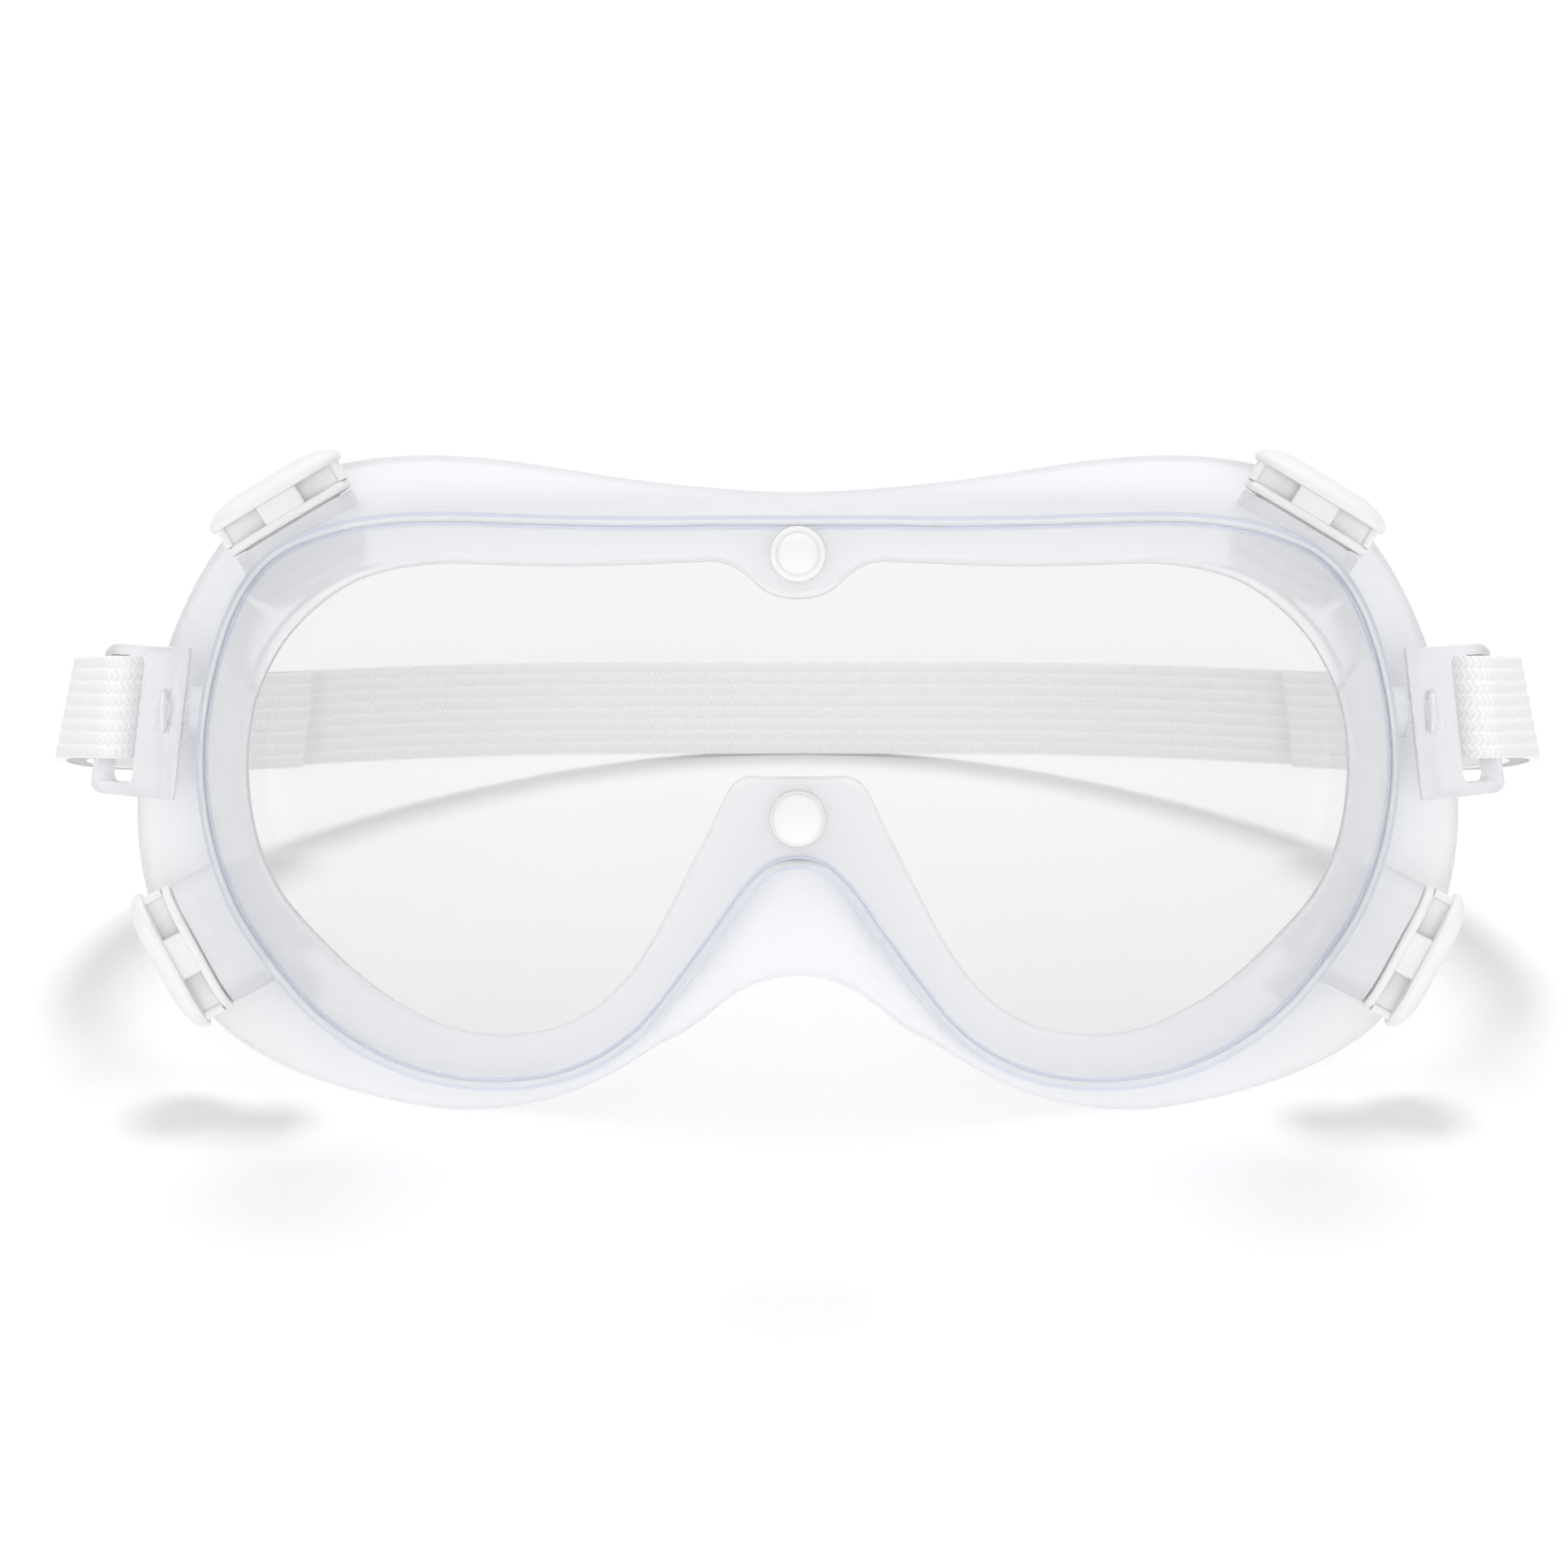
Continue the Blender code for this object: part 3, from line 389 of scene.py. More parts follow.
def rounded_rectangle(low, high, radius):
    shape = []
    corners = ((high[0] - radius, high[1] - radius), (low[0] + radius, high[1] - radius),
               (low[0] + radius, low[1] + radius), (high[0] - radius, low[1] + radius))
    for quarter, (x, y) in enumerate(corners):
        for i in range(CORNER_STEPS + 1):
            angle = math.pi / 2 * (quarter + i / CORNER_STEPS)
            shape.append((x + radius * math.cos(angle), y + radius * math.sin(angle)))
    return shape


def box_between(name, low, high):
    base = [(low[0], low[1]), (high[0], low[1]), (high[0], high[1]), (low[0], high[1])]
    return prism(name, base, low[2], high[2])


def moved(mesh, matrix):
    """A copy of the mesh, carried by the matrix."""
    copy = mesh.copy()
    copy.transform(matrix)
    if matrix.determinant() < 0:
        copy.flip_normals()
    return copy


def combined(mesh, operations, bevel=0.0):
    """The mesh after exact Booleans with (operation, mesh) pairs, then an edge bevel."""
    obj = bpy.data.objects.new("work", mesh)
    bpy.context.scene.collection.objects.link(obj)
    tools = []
    for operation, tool_mesh in operations:
        tool = bpy.data.objects.new("tool", tool_mesh)
        bpy.context.scene.collection.objects.link(tool)
        modifier = obj.modifiers.new("join", "BOOLEAN")
        modifier.operation = operation
        modifier.object = tool
        tools.append(tool)
    if bevel:
        modifier = obj.modifiers.new("edge", "BEVEL")
        modifier.width = bevel
        modifier.segments = BEVEL_SEGMENTS
        modifier.limit_method = "ANGLE"
        modifier.angle_limit = BEVEL_ANGLE
        modifier.harden_normals = False
    graph = bpy.context.evaluated_depsgraph_get()
    result = bpy.data.meshes.new_from_object(obj.evaluated_get(graph))
    for used in [obj, *tools]:
        bpy.data.objects.remove(used, do_unlink=True)
    return result


def piece(name, mesh, material, body, node, sharp=40.0, matrix=None, ground=False):
    """Places a mesh drawn in the goggles' frame, and hangs it on its body in place of its CAD node."""
    mesh.transform(PLACE @ matrix if matrix else PLACE)
    if ground:
        for vertex in mesh.vertices:
            vertex.co.z = max(vertex.co.z, 0.0)
    mesh.shade_smooth()
    mesh.set_sharp_from_angle(angle=math.radians(sharp))
    mesh.materials.clear()
    mesh.materials.append(material)
    obj = bpy.data.objects.new(name, mesh)
    bpy.context.scene.collection.objects.link(obj)
    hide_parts(node)
    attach(obj, body)
    return obj


# ---------------------------------------------------------------- materials

def new_material(name, **values):
    """A Principled material with constant socket values, and its node tree."""
    mat = bpy.data.materials.new(name + LOOK)
    mat.use_nodes = True
    shader = mat.node_tree.nodes["Principled BSDF"]
    for key, value in values.items():
        shader.inputs[key.replace("_", " ")].default_value = value
    return mat, mat.node_tree, shader


def colour_from(tree, shader, factor, low, high):
    """Links a blend of two colours to the shader's base colour."""
    tree.links.new(mix_colours(tree, factor, low, high), shader.inputs["Base Color"])


def roughness_from(tree, shader, factor, low, high):
    tree.links.new(map_range(tree, factor, low, high), shader.inputs["Roughness"])


def add(tree, kind, **settings):
    node = tree.nodes.new(kind)
    for key, value in settings.items():
        setattr(node, key, value)
    return node


def math_node(tree, operation, first, second=None):
    node = add(tree, "ShaderNodeMath", operation=operation)
    for i, value in enumerate((first, second)):
        if value is None:
            continue
        if isinstance(value, (int, float)):
            node.inputs[i].default_value = value
        else:
            tree.links.new(value, node.inputs[i])
    return node.outputs[0]


def noise_output(tree, scale, detail=2.0):
    """Noise in object space, as wide as 1/scale metres."""
    coordinates = add(tree, "ShaderNodeTexCoord")
    noise = add(tree, "ShaderNodeTexNoise")
    noise.inputs["Scale"].default_value = scale
    noise.inputs["Detail"].default_value = detail
    tree.links.new(coordinates.outputs["Object"], noise.inputs["Vector"])
    return noise.outputs["Fac"]


def mix_colours(tree, factor, low, high):
    """A blend of two colours. The low one may be another blend's output."""
    mix = add(tree, "ShaderNodeMix", data_type="RGBA")
    tree.links.new(factor, mix.inputs[0])
    if isinstance(low, tuple):
        mix.inputs[6].default_value = (*low, 1.0)
    else:
        tree.links.new(low, mix.inputs[6])
    mix.inputs[7].default_value = (*high, 1.0)
    return mix.outputs[2]


def map_range(tree, value, low, high):
    node = add(tree, "ShaderNodeMapRange")
    tree.links.new(value, node.inputs["Value"])
    node.inputs["To Min"].default_value = low
    node.inputs["To Max"].default_value = high
    return node.outputs["Result"]


def add_bump(tree, shader, height, distance, strength):
    bump = add(tree, "ShaderNodeBump")
    bump.inputs["Distance"].default_value = distance
    bump.inputs["Strength"].default_value = strength
    tree.links.new(height, bump.inputs["Height"])
    tree.links.new(bump.outputs["Normal"], shader.inputs["Normal"])


def let_light_through(tree, shader, share):
    """Lets that share of each lamp's light pass, as thin clear plastic does."""
    rays = add(tree, "ShaderNodeLightPath")
    clear = add(tree, "ShaderNodeBsdfTransparent")
    mix = add(tree, "ShaderNodeMixShader")
    tree.links.new(math_node(tree, "MULTIPLY", rays.outputs["Is Shadow Ray"], share), mix.inputs[0])
    tree.links.new(shader.outputs[0], mix.inputs[1])
    tree.links.new(clear.outputs[0], mix.inputs[2])
    tree.links.new(mix.outputs[0], tree.nodes["Material Output"].inputs["Surface"])


def vinyl_material():
    """Clear soft PVC: blue along its moulded edges, partly thick vinyl's own blue and partly painted
    reflection of darker surroundings, and milky where its skin is frosted.
    """
    mat, tree, shader = new_material("clear_vinyl", IOR=1.25)
    blue_and_reflection = add(tree, "ShaderNodeAttribute", attribute_name="blue_and_reflection")
    frost = add(tree, "ShaderNodeAttribute", attribute_name="frost")
    milky = mix_colours(tree, frost.outputs["Fac"], (0.985, 0.987, 0.993), (0.862, 0.866, 0.882))
    # mixes in the edge blue: partly the vinyl's own, partly painted reflection
    colour_from(tree, shader, blue_and_reflection.outputs["Fac"], milky, (0.57, 0.64, 0.86))
    clear = map_range(tree, frost.outputs["Fac"], 0.95, 0.25)
    tree.links.new(clear, shader.inputs["Transmission Weight"])
    haze = math_node(tree, "MULTIPLY", noise_output(tree, 60.0), 0.08)
    rough = math_node(tree, "ADD", haze, map_range(tree, frost.outputs["Fac"], 0.02, 0.28))
    tree.links.new(rough, shader.inputs["Roughness"])
    add_bump(tree, shader, noise_output(tree, 180.0, 3.0), 0.0001, 0.1)
    let_light_through(tree, shader, 0.985)
    return mat


def lens_material():
    """Clear hard sheet with a faint haze."""
    mat, tree, shader = new_material(
        "clear_polycarbonate", Transmission_Weight=1.0, IOR=1.45)
    haze = noise_output(tree, 40.0)
    colour_from(tree, shader, haze, (0.875, 0.877, 0.88), (0.895, 0.897, 0.90))
    roughness_from(tree, shader, haze, 0.01, 0.05)
    let_light_through(tree, shader, 0.98)
    return mat


def clip_material():
    """Clear moulding of the clips and pins, a little milky like the vinyl."""
    mat, tree, shader = new_material(
        "clear_plastic", Transmission_Weight=0.38, IOR=1.35)
    haze = noise_output(tree, 300.0)
    colour_from(tree, shader, haze, (0.90, 0.906, 0.93), (0.925, 0.93, 0.95))
    roughness_from(tree, shader, haze, 0.08, 0.16)
    let_light_through(tree, shader, 0.92)
    return mat


def white_material():
    """Satin white moulding with a fine spark-eroded texture."""
    mat, tree, shader = new_material("white_plastic")
    shade = noise_output(tree, 90.0)
    colour_from(tree, shader, shade, (0.84, 0.837, 0.83), (0.87, 0.868, 0.862))
    roughness_from(tree, shader, shade, 0.30, 0.45)
    add_bump(tree, shader, noise_output(tree, 2500.0, 3.0), 0.00002, 0.5)
    return mat


def elastic_material():
    """White knitted elastic: zigzag stitches along each rib, over the ribs of the mesh, with painted shade
    in the stitches' low parts and a painted highlight on the raised cords.
    """
    mat, tree, shader = new_material(
        "white_elastic", Roughness=0.9, Sheen_Weight=0.3, Sheen_Roughness=0.5)
    place = add(tree, "ShaderNodeUVMap", uv_map="knit")
    split = add(tree, "ShaderNodeSeparateXYZ")
    tree.links.new(place.outputs["UV"], split.inputs[0])
    along, across = split.outputs[0], split.outputs[1]
    in_rib = math_node(tree, "FRACT", across)
    chevron = math_node(tree, "ABSOLUTE", math_node(tree, "SUBTRACT", in_rib, 0.5))
    phase = math_node(tree, "ADD", along, math_node(tree, "MULTIPLY", chevron, STITCH_SLANT))
    wave = math_node(tree, "SINE", math_node(tree, "MULTIPLY", phase, 2 * math.pi))
    stitch = math_node(tree, "ADD", math_node(tree, "MULTIPLY", wave, 0.5), 0.5)
    cord = math_node(tree, "POWER", math_node(tree, "MULTIPLY", chevron, 2.0), 5.0)
    fuzz = math_node(tree, "MULTIPLY", noise_output(tree, 4000.0), 0.5)
    height = math_node(tree, "ADD", math_node(tree, "ADD", stitch, fuzz), cord)
    # colour darker in the stitches' low parts and lighter on the raised cords: painted shade and painted
    # highlight
    shade = math_node(tree, "ADD", math_node(tree, "MULTIPLY", stitch, 0.5), cord)
    relief_light_and_shade = map_range(tree, shade, 0.0, 1.0)
    colour_from(tree, shader, relief_light_and_shade, (0.86, 0.86, 0.86), (0.98, 0.98, 0.975))
    add_bump(tree, shader, height, 0.00008, 0.8)
    return mat


# ---------------------------------------------------------------- frame and lens

def frame_outline(column):
    """One of the three frame outlines, mirrored into a closed loop of (x, z) points."""
    half = [Vector(row[column]) for row in STATIONS]
    other = [Vector((-p.x, p.y)) for p in reversed(half[1:-1])]
    return smooth_path(half + other, STATION_STEPS, closed=True)


def inward_normals(path):
    normals = []
    for i, _ in enumerate(path):
        along = path[(i + 1) % len(path)] - path[i - 1]
        normals.append(Vector((along.y, -along.x)).normalized())
    return normals


def shell_depth(x, offset):
    return LENS_RADIUS - math.sqrt((LENS_RADIUS - offset) ** 2 - x ** 2)


def rim_depth(x, z):
    relief = NOSE_RELIEF * math.exp(-(x / NOSE_RELIEF_WIDTH) ** 2) if z < 0 else 0.0
    return BROW_DEPTH + TEMPLE_SWEEP * x ** 2 - relief


def offset_polyline(points, distance):
    moved_points = []
    for i, point in enumerate(points):
        before = (point - points[i - 1]).normalized() if i else None
        after = (points[i + 1] - point).normalized() if i + 1 < len(points) else None
        before = before or after
        after = after or before
        side = (Vector((before.y, -before.x)) + Vector((after.y, -after.x))).normalized()
        stretch = max(OFFSET_STRETCH, side.dot(Vector((after.y, -after.x))))
        moved_points.append(point - side * distance / stretch)
    return moved_points


def frame_section(lip, channel, rim, inward):
    """One cut through the frame: its points, and how blue and milky (frost) each one is; the blue is partly
    painted reflection of darker surroundings.
    """
    across = (channel - lip).normalized()
    flare = rim - channel
    out = flare.normalized()
    rear_lip = lip + (channel - lip) * REAR_LIP_SETBACK
    groove = channel + inward * GROOVE_INSET

    def on_shell(p, offset):
        return Vector((p.x, shell_depth(p.x, offset), p.y))

    def on_wall(p):
        flat = channel + out * p.x
        return Vector((flat.x, p.y, flat.y))

    start = shell_depth(channel.x, REAR_LIP_BACK)
    depth = rim_depth(rim.x, rim.y) - start
    profile = smooth_path([Vector(p) for p in WALL_PROFILE], WALL_STEPS, closed=False)
    outer = [Vector((u * flare.length, start + v * depth)) for u, v in profile]
    inner = offset_polyline(outer, WALL)
    inner[0].y = start
    corners = [                # (point, rounding radius, blue with painted reflection, frost)
        (on_shell(lip, -GAP), 0.0, 0.05, 0.5),
        (on_shell(lip, LIP_FRONT), 0.7, 0.0, 0.5),
        (on_shell(lip + across * LIP_EDGE, LIP_FRONT), 0.0, 0.0, 0.45),
        (on_shell(channel + inward * (BEAD_WIDTH + BEAD_FADE), LIP_FRONT), 0.0, 0.0, 0.45),
        (on_shell(channel + inward * (BEAD_WIDTH + BEAD_SIDE), LIP_FRONT), 0.2, 0.55, 0.3),
        (on_shell(channel + inward * BEAD_WIDTH * BEAD_FACE[0], BEAD_FRONT), 0.4, 0.0, 0.6),
        (on_shell(channel + inward * BEAD_WIDTH * BEAD_FACE[1], BEAD_FRONT), 0.4, 0.5, 0.6),
        (on_shell(channel, LIP_FRONT), 0.0, 0.6, 0.5),
        (on_shell(channel, LIP_FRONT + SIDE_FADE), 0.0, 0.1, 0.7),
    ]
    for p in outer[:-1]:
        # blue beside the channel, partly painted reflection, fading away from it
        blue_and_reflection = WALL_BLUE_AND_REFLECTION * max(0.0, 1 - p.x / WALL_BLUE_AND_REFLECTION_REACH)
        corners.append((on_wall(p), 0.0, blue_and_reflection, WALL_FROST))
    corners += [(on_wall(p), RIM_ROUND, 0.0, RIM_FROST) for p in (outer[-1], inner[-1])]
    corners += [(on_wall(p), 0.0, 0.0, INSIDE_FROST) for p in reversed(inner[:-1])]
    corners += [
        (on_shell(rear_lip, REAR_LIP_BACK), 0.5, 0.0, GROOVE_FROST),
        (on_shell(rear_lip, LENS_THICKNESS + GAP), 0.3, 0.0, GROOVE_FROST),
        (on_shell(groove, LENS_THICKNESS + GAP), 0.0, 0.1, GROOVE_FROST),
        (on_shell(groove, -GAP), 0.0, 0.1, GROOVE_FROST),
    ]
    points = rounded([(p, radius) for p, radius, _, _ in corners])
    blue_and_reflection_values = []
    frosts = []
    for _, radius, blue_and_reflection, frost in corners:
        copies = ROUND_STEPS + 1 if radius else 1
        blue_and_reflection_values += [blue_and_reflection] * copies
        frosts += [frost] * copies
    return points, blue_and_reflection_values, frosts


def vent_matrix(name, side):
    centre, degrees, _ = VENTS[name]
    angle = math.radians(degrees)
    outward = Vector((side * math.cos(angle), 0.0, math.sin(angle)))
    back = Vector((0.0, 1.0, 0.0))
    matrix = Matrix((back.cross(outward), back, outward)).transposed().to_4x4()
    matrix.translation = Vector((side * centre[0], centre[1], centre[2]))
    return matrix


def side_axis_matrix(side):
    matrix = Matrix.Rotation(side * math.pi / 2, 4, "Y")
    matrix.translation = Vector((0.0, HINGE_Y, HINGE_Z))
    return matrix


def front_axis_matrix(height):
    matrix = Matrix.Rotation(math.pi / 2, 4, "X")
    matrix.translation = Vector((0.0, 0.0, height))
    return matrix


def rivet_hole(height):
    radius = RIVET_SHANK_RADIUS + GAP
    profile = ((radius, -RIVET_HOLE_REACH), (radius, RIVET_HOLE_REACH))
    hole = turned_solid("rivet_hole", profile, RIVET_HOLE_SIDES)
    return moved(hole, front_axis_matrix(height))


def paint_frame(mesh, made):
    """Stores each point's blue, partly painted reflection, and frost, which fade to plain ones away from
    the moulded sections.
    """
    moulded = [values for section in made for values in zip(*section)]
    tree = KDTree(len(moulded))
    for i, (point, _, _) in enumerate(moulded):
        tree.insert(point, i)
    tree.balance()
    # blue along the edges: partly the vinyl's own, partly painted reflection
    blue_and_reflection = mesh.attributes.new("blue_and_reflection", "FLOAT", "POINT")
    frost = mesh.attributes.new("frost", "FLOAT", "POINT")
    for vertex in mesh.vertices:
        _, nearest, distance = tree.find(vertex.co)
        share = max(0.0, 1.0 - distance / PAINT_REACH)
        blue_and_reflection.data[vertex.index].value = moulded[nearest][1] * share
        frost.data[vertex.index].value = PLAIN_FROST + (moulded[nearest][2] - PLAIN_FROST) * share


def build_frame(material):
    paths = [frame_outline(column) for column in range(3)]
    made = [frame_section(*row) for row in zip(*paths, inward_normals(paths[1]))]
    mesh = loop_mesh("goggles_frame", [section[0] for section in made], closed=True)
    operations = []
    seat = stadium(SEAT_LENGTH, SEAT_WIDTH)
    port = stadium(VENT_LENGTH, VENT_WIDTH, VENT_NECK_INSET - GAP)
    for name, (_, _, inner_face) in VENTS.items():
        seat_mesh = prism("seat", seat, inner_face, -VENT_PLATE - GAP)
        port_mesh = prism("port", port, inner_face - PORT_REACH, PORT_REACH)
        for side in (-1, 1):
            operations.append(("UNION", moved(seat_mesh, vent_matrix(name, side))))
            operations.append(("DIFFERENCE", moved(port_mesh, vent_matrix(name, side))))
    boss = turned_solid("boss", ((BOSS_RADIUS, BOSS_BACK), (BOSS_RADIUS, BOSS_FACE)), HOLE_SIDES)
    hole = turned_solid("hole", ((EYE_RADIUS, EYE_START), (EYE_RADIUS, SIDE_REACH)), HOLE_SIDES)
    for side in (-1, 1):
        operations.append(("UNION", moved(boss, side_axis_matrix(side))))
        operations.append(("DIFFERENCE", moved(hole, side_axis_matrix(side))))
    for height, _ in RIVETS.values():
        operations.append(("DIFFERENCE", rivet_hole(height)))
    mesh = combined(mesh, operations)
    paint_frame(mesh, made)
    return piece("goggles_frame", mesh, material, "goggles", "frame_skirt", sharp=50.0, ground=True)


def build_lens(material):
    sheet = []
    top = LENS_HALF_HEIGHT
    for i in range(LENS_COLUMNS + 1):
        x = LENS_HALF_WIDTH * (2 * i / LENS_COLUMNS - 1)
        angle = math.asin(x / LENS_RADIUS)
        front = (x, shell_depth(x, 0.0))
        back = (x - LENS_THICKNESS * math.sin(angle), front[1] + LENS_THICKNESS * math.cos(angle))
        sheet.append([(*front, -top), (*back, -top), (*back, top), (*front, top)])
    channel = frame_outline(1)
    edge = [p + n * LENS_INSET for p, n in zip(channel, inward_normals(channel))]
    ends = [[(p.x, y, p.y) for p in edge] for y in (BLANK_FRONT, BLANK_BACK)]
    operations = [("INTERSECT", loop_mesh("blank", ends, closed=False))]
    operations += [("DIFFERENCE", rivet_hole(height)) for height, _ in RIVETS.values()]
    mesh = combined(loop_mesh("lens", sheet, closed=False), operations)
    return piece("goggles_lens", mesh, material, "goggles", "lens")


# ---------------------------------------------------------------- rivets

def plug_profile(dome_radius, pin_end, base):
    """The plug's pin and domed button, as (radius, height) from the pin's end to the top."""
    profile = [(RIVET_PIN_RADIUS, pin_end), (RIVET_PIN_RADIUS, base)]
    profile.append((dome_radius - RIVET_DOME_CHAMFER, base))
    for i in range(RIVET_DOME_STEPS + 1):
        angle = RIVET_DOME_END * i / RIVET_DOME_STEPS
        height = base + RIVET_DOME_REST + RIVET_DOME * math.sin(angle)
        profile.append((dome_radius * math.cos(angle), height))
    return profile


def build_rivets(material):
    head_back = -LIP_FRONT + GAP
    head_front = head_back + RIVET_HEAD
    barb_front = -REAR_LIP_BACK - GAP
    barb_back = barb_front - RIVET_BARB
    corners = (
        (RIVET_BORE_RADIUS, head_front, 0.15), (RIVET_HEAD_RADIUS, head_front, 0.55),
        (RIVET_HEAD_RADIUS, head_back, 0.15), (RIVET_SHANK_RADIUS, head_back, 0.0),
        (RIVET_SHANK_RADIUS, barb_front, 0.0), (RIVET_BARB_RADIUS, barb_front, 0.15),
        (RIVET_SHANK_RADIUS, barb_back, 0.1), (RIVET_BORE_RADIUS, barb_back, 0.0))
    profile = rounded([(Vector((r, z)), radius) for r, z, radius in corners])
    socket = turned_ring("socket", [tuple(p) for p in profile])
    base = head_front + GAP
    for name, (height, dome_radius) in RIVETS.items():
        matrix = front_axis_matrix(height)
        piece(f"{name}_rivet_flange", socket.copy(), material, "goggles", f"{name}_rivet_socket",
              matrix=matrix)
        plug = turned_solid("plug", plug_profile(dome_radius, barb_front, base))
        piece(f"{name}_rivet_button", plug, material, f"{name}_plug", f"{name}_rivet_plug",
              matrix=matrix)


# ---------------------------------------------------------------- vents

def vent_tube(name, corners):
    """A stadium-shaped ring from (inset, height, rounding) corners."""
    profile = rounded([(Vector((inset, height)), radius) for inset, height, radius in corners])
    shapes = [stadium(VENT_LENGTH, VENT_WIDTH, p.x) for p in profile]
    sections = []
    for i in range(len(shapes[0])):
        sections.append([(*shape[i], p.y) for shape, p in zip(shapes, profile)])
    return loop_mesh(name, sections, closed=True)


def cap_mesh():
    """The domed cover with its stem, a cross wall and a lengthwise baffle under it, and two end posts."""
    sections = []
    for inset, height in CAP_PROFILE:
        shape = stadium(CAP_LENGTH, CAP_WIDTH, inset)
        sections.append([(x, y, CAP_UNDERSIDE + height) for x, y in shape])
    cap = loop_mesh("cap", sections, closed=False)
    root = CAP_UNDERSIDE + CAP_ROOT

    def pillar(half_length, half_width, low, start=None):
        near = -half_length if start is None else start
        shape = rounded_rectangle((near, -half_width), (half_length, half_width), CAP_EDGE)
        return prism("pillar", shape, low, root)

    post = pillar(CAP_POST_OFFSET + CAP_POST, CAP_POST_HALF_WIDTH, 0.0, start=CAP_POST_OFFSET)
    operations = [
        ("UNION", pillar(CAP_STEM / 2, CAP_STEM_WIDTH / 2, -CAP_STEM_DEPTH)),
        ("UNION", pillar(CAP_STEM / 2, CAP_WEB_HALF_WIDTH, 0.0)),
        ("UNION", pillar(CAP_POST_OFFSET + CAP_EDGE, CAP_BAFFLE_HALF_WIDTH, 0.0)),
        ("UNION", post),
        ("UNION", moved(post, Matrix.Rotation(math.pi, 4, "Z"))),
    ]
    return combined(cap, operations)


def build_vents(material):
    cap = cap_mesh()
    for name, (_, _, inner_face) in VENTS.items():
        ring_face = inner_face - GAP
        ring_back = ring_face - VENT_RETAINER
        neck_end = ring_back - VENT_BARB
        barb = ring_back - GAP
        base = vent_tube("base", (
            (0.0, 0.0, 0.5), (VENT_PORT_INSET, 0.0, 0.35), (VENT_PORT_INSET, neck_end, 0.2),
            (VENT_NECK_INSET, neck_end, 0.2), (VENT_BARB_INSET, barb, 0.1), (VENT_NECK_INSET, barb, 0.0),
            (VENT_NECK_INSET, -VENT_PLATE, 0.2), (0.0, -VENT_PLATE, 0.5)))
        ring_inner = VENT_NECK_INSET - GAP
        ring = vent_tube("ring", (
            (VENT_RETAINER_OUTER, ring_face, 0.25), (ring_inner, ring_face, 0.1),
            (ring_inner, ring_back, 0.1), (VENT_RETAINER_OUTER, ring_back, 0.25)))
        for side, word in ((-1, "left"), (1, "right")):
            matrix = vent_matrix(name, side)
            place = f"{name}_{word}"
            made = (
                (f"vent_collar_{place}", base, "goggles", f"vent_base_{place}"),
                (f"vent_lock_ring_{place}", ring, "goggles", f"vent_retainer_{place}"),
                (f"vent_cover_{place}", cap, f"cap_{place}", f"vent_cap_{place}"),
            )
            for piece_name, mesh, body, node in made:
                piece(piece_name, mesh.copy(), material, body, node, matrix=matrix)


# ---------------------------------------------------------------- clips and pins

def clip_plan():
    half = CLIP_OUTWARD * CLIP_THICKNESS / 2
    tip = CLIP_BAR + CLIP_DIRECTION * CLIP_BAR_HALF
    outer_tip = tip + half
    inner_tip = tip - half
    inner_bend = inner_tip - CLIP_DIRECTION * (inner_tip.x - CLIP_INNER) / CLIP_DIRECTION.x
    heel = outer_tip - CLIP_DIRECTION * (outer_tip.x - CLIP_INNER - CLIP_HEEL) / CLIP_DIRECTION.x
    return [outer_tip, inner_tip, inner_bend, Vector((CLIP_INNER, heel.y - CLIP_HEEL)), heel]


def build_clips(material):
    tip_y = CLIP_BAR.y + CLIP_DIRECTION.y * CLIP_BAR_HALF + CLIP_THICKNESS / 2
    ring = rounded_rectangle((CLIP_FRONT, CLIP_BOTTOM), (tip_y, CLIP_TOP), CLIP_CORNER)
    slot = rounded_rectangle((SLOT_FRONT, SLOT_BOTTOM), (CLIP_BAR.y - CLIP_BAR_HALF, SLOT_TOP), SLOT_CORNER)
    ring_tool = along_x("ring", ring, -SIDE_REACH, SIDE_REACH)
    slot_tool = along_x("slot", slot, -SIDE_REACH, SIDE_REACH)
    eye = turned_solid("eye", ((EYE_RADIUS, EYE_START), (EYE_RADIUS, SIDE_REACH)), HOLE_SIDES)
    sink_profile = ((SINK_RADIUS, COUNTERBORE_FLOOR), (SINK_RADIUS, SIDE_REACH))
    sink = turned_solid("sink", sink_profile, HOLE_SIDES)
    for side, word in ((-1, "left"), (1, "right")):
        ends = []
        for z in (CLIP_BOTTOM, CLIP_TOP):
            shift = CLIP_LEAN * (HINGE_Z - z)
            ends.append([(side * (p.x + shift), p.y, z) for p in clip_plan()])
        matrix = side_axis_matrix(side)
        operations = [("INTERSECT", ring_tool.copy()), ("DIFFERENCE", slot_tool.copy()),
                      ("DIFFERENCE", moved(eye, matrix)), ("DIFFERENCE", moved(sink, matrix))]
        mesh = combined(loop_mesh("clip", ends, closed=False), operations, bevel=CLIP_BEVEL)
        piece(f"headband_clip_{word}", mesh, material, "headband", f"strap_clip_{word}", sharp=60.0)


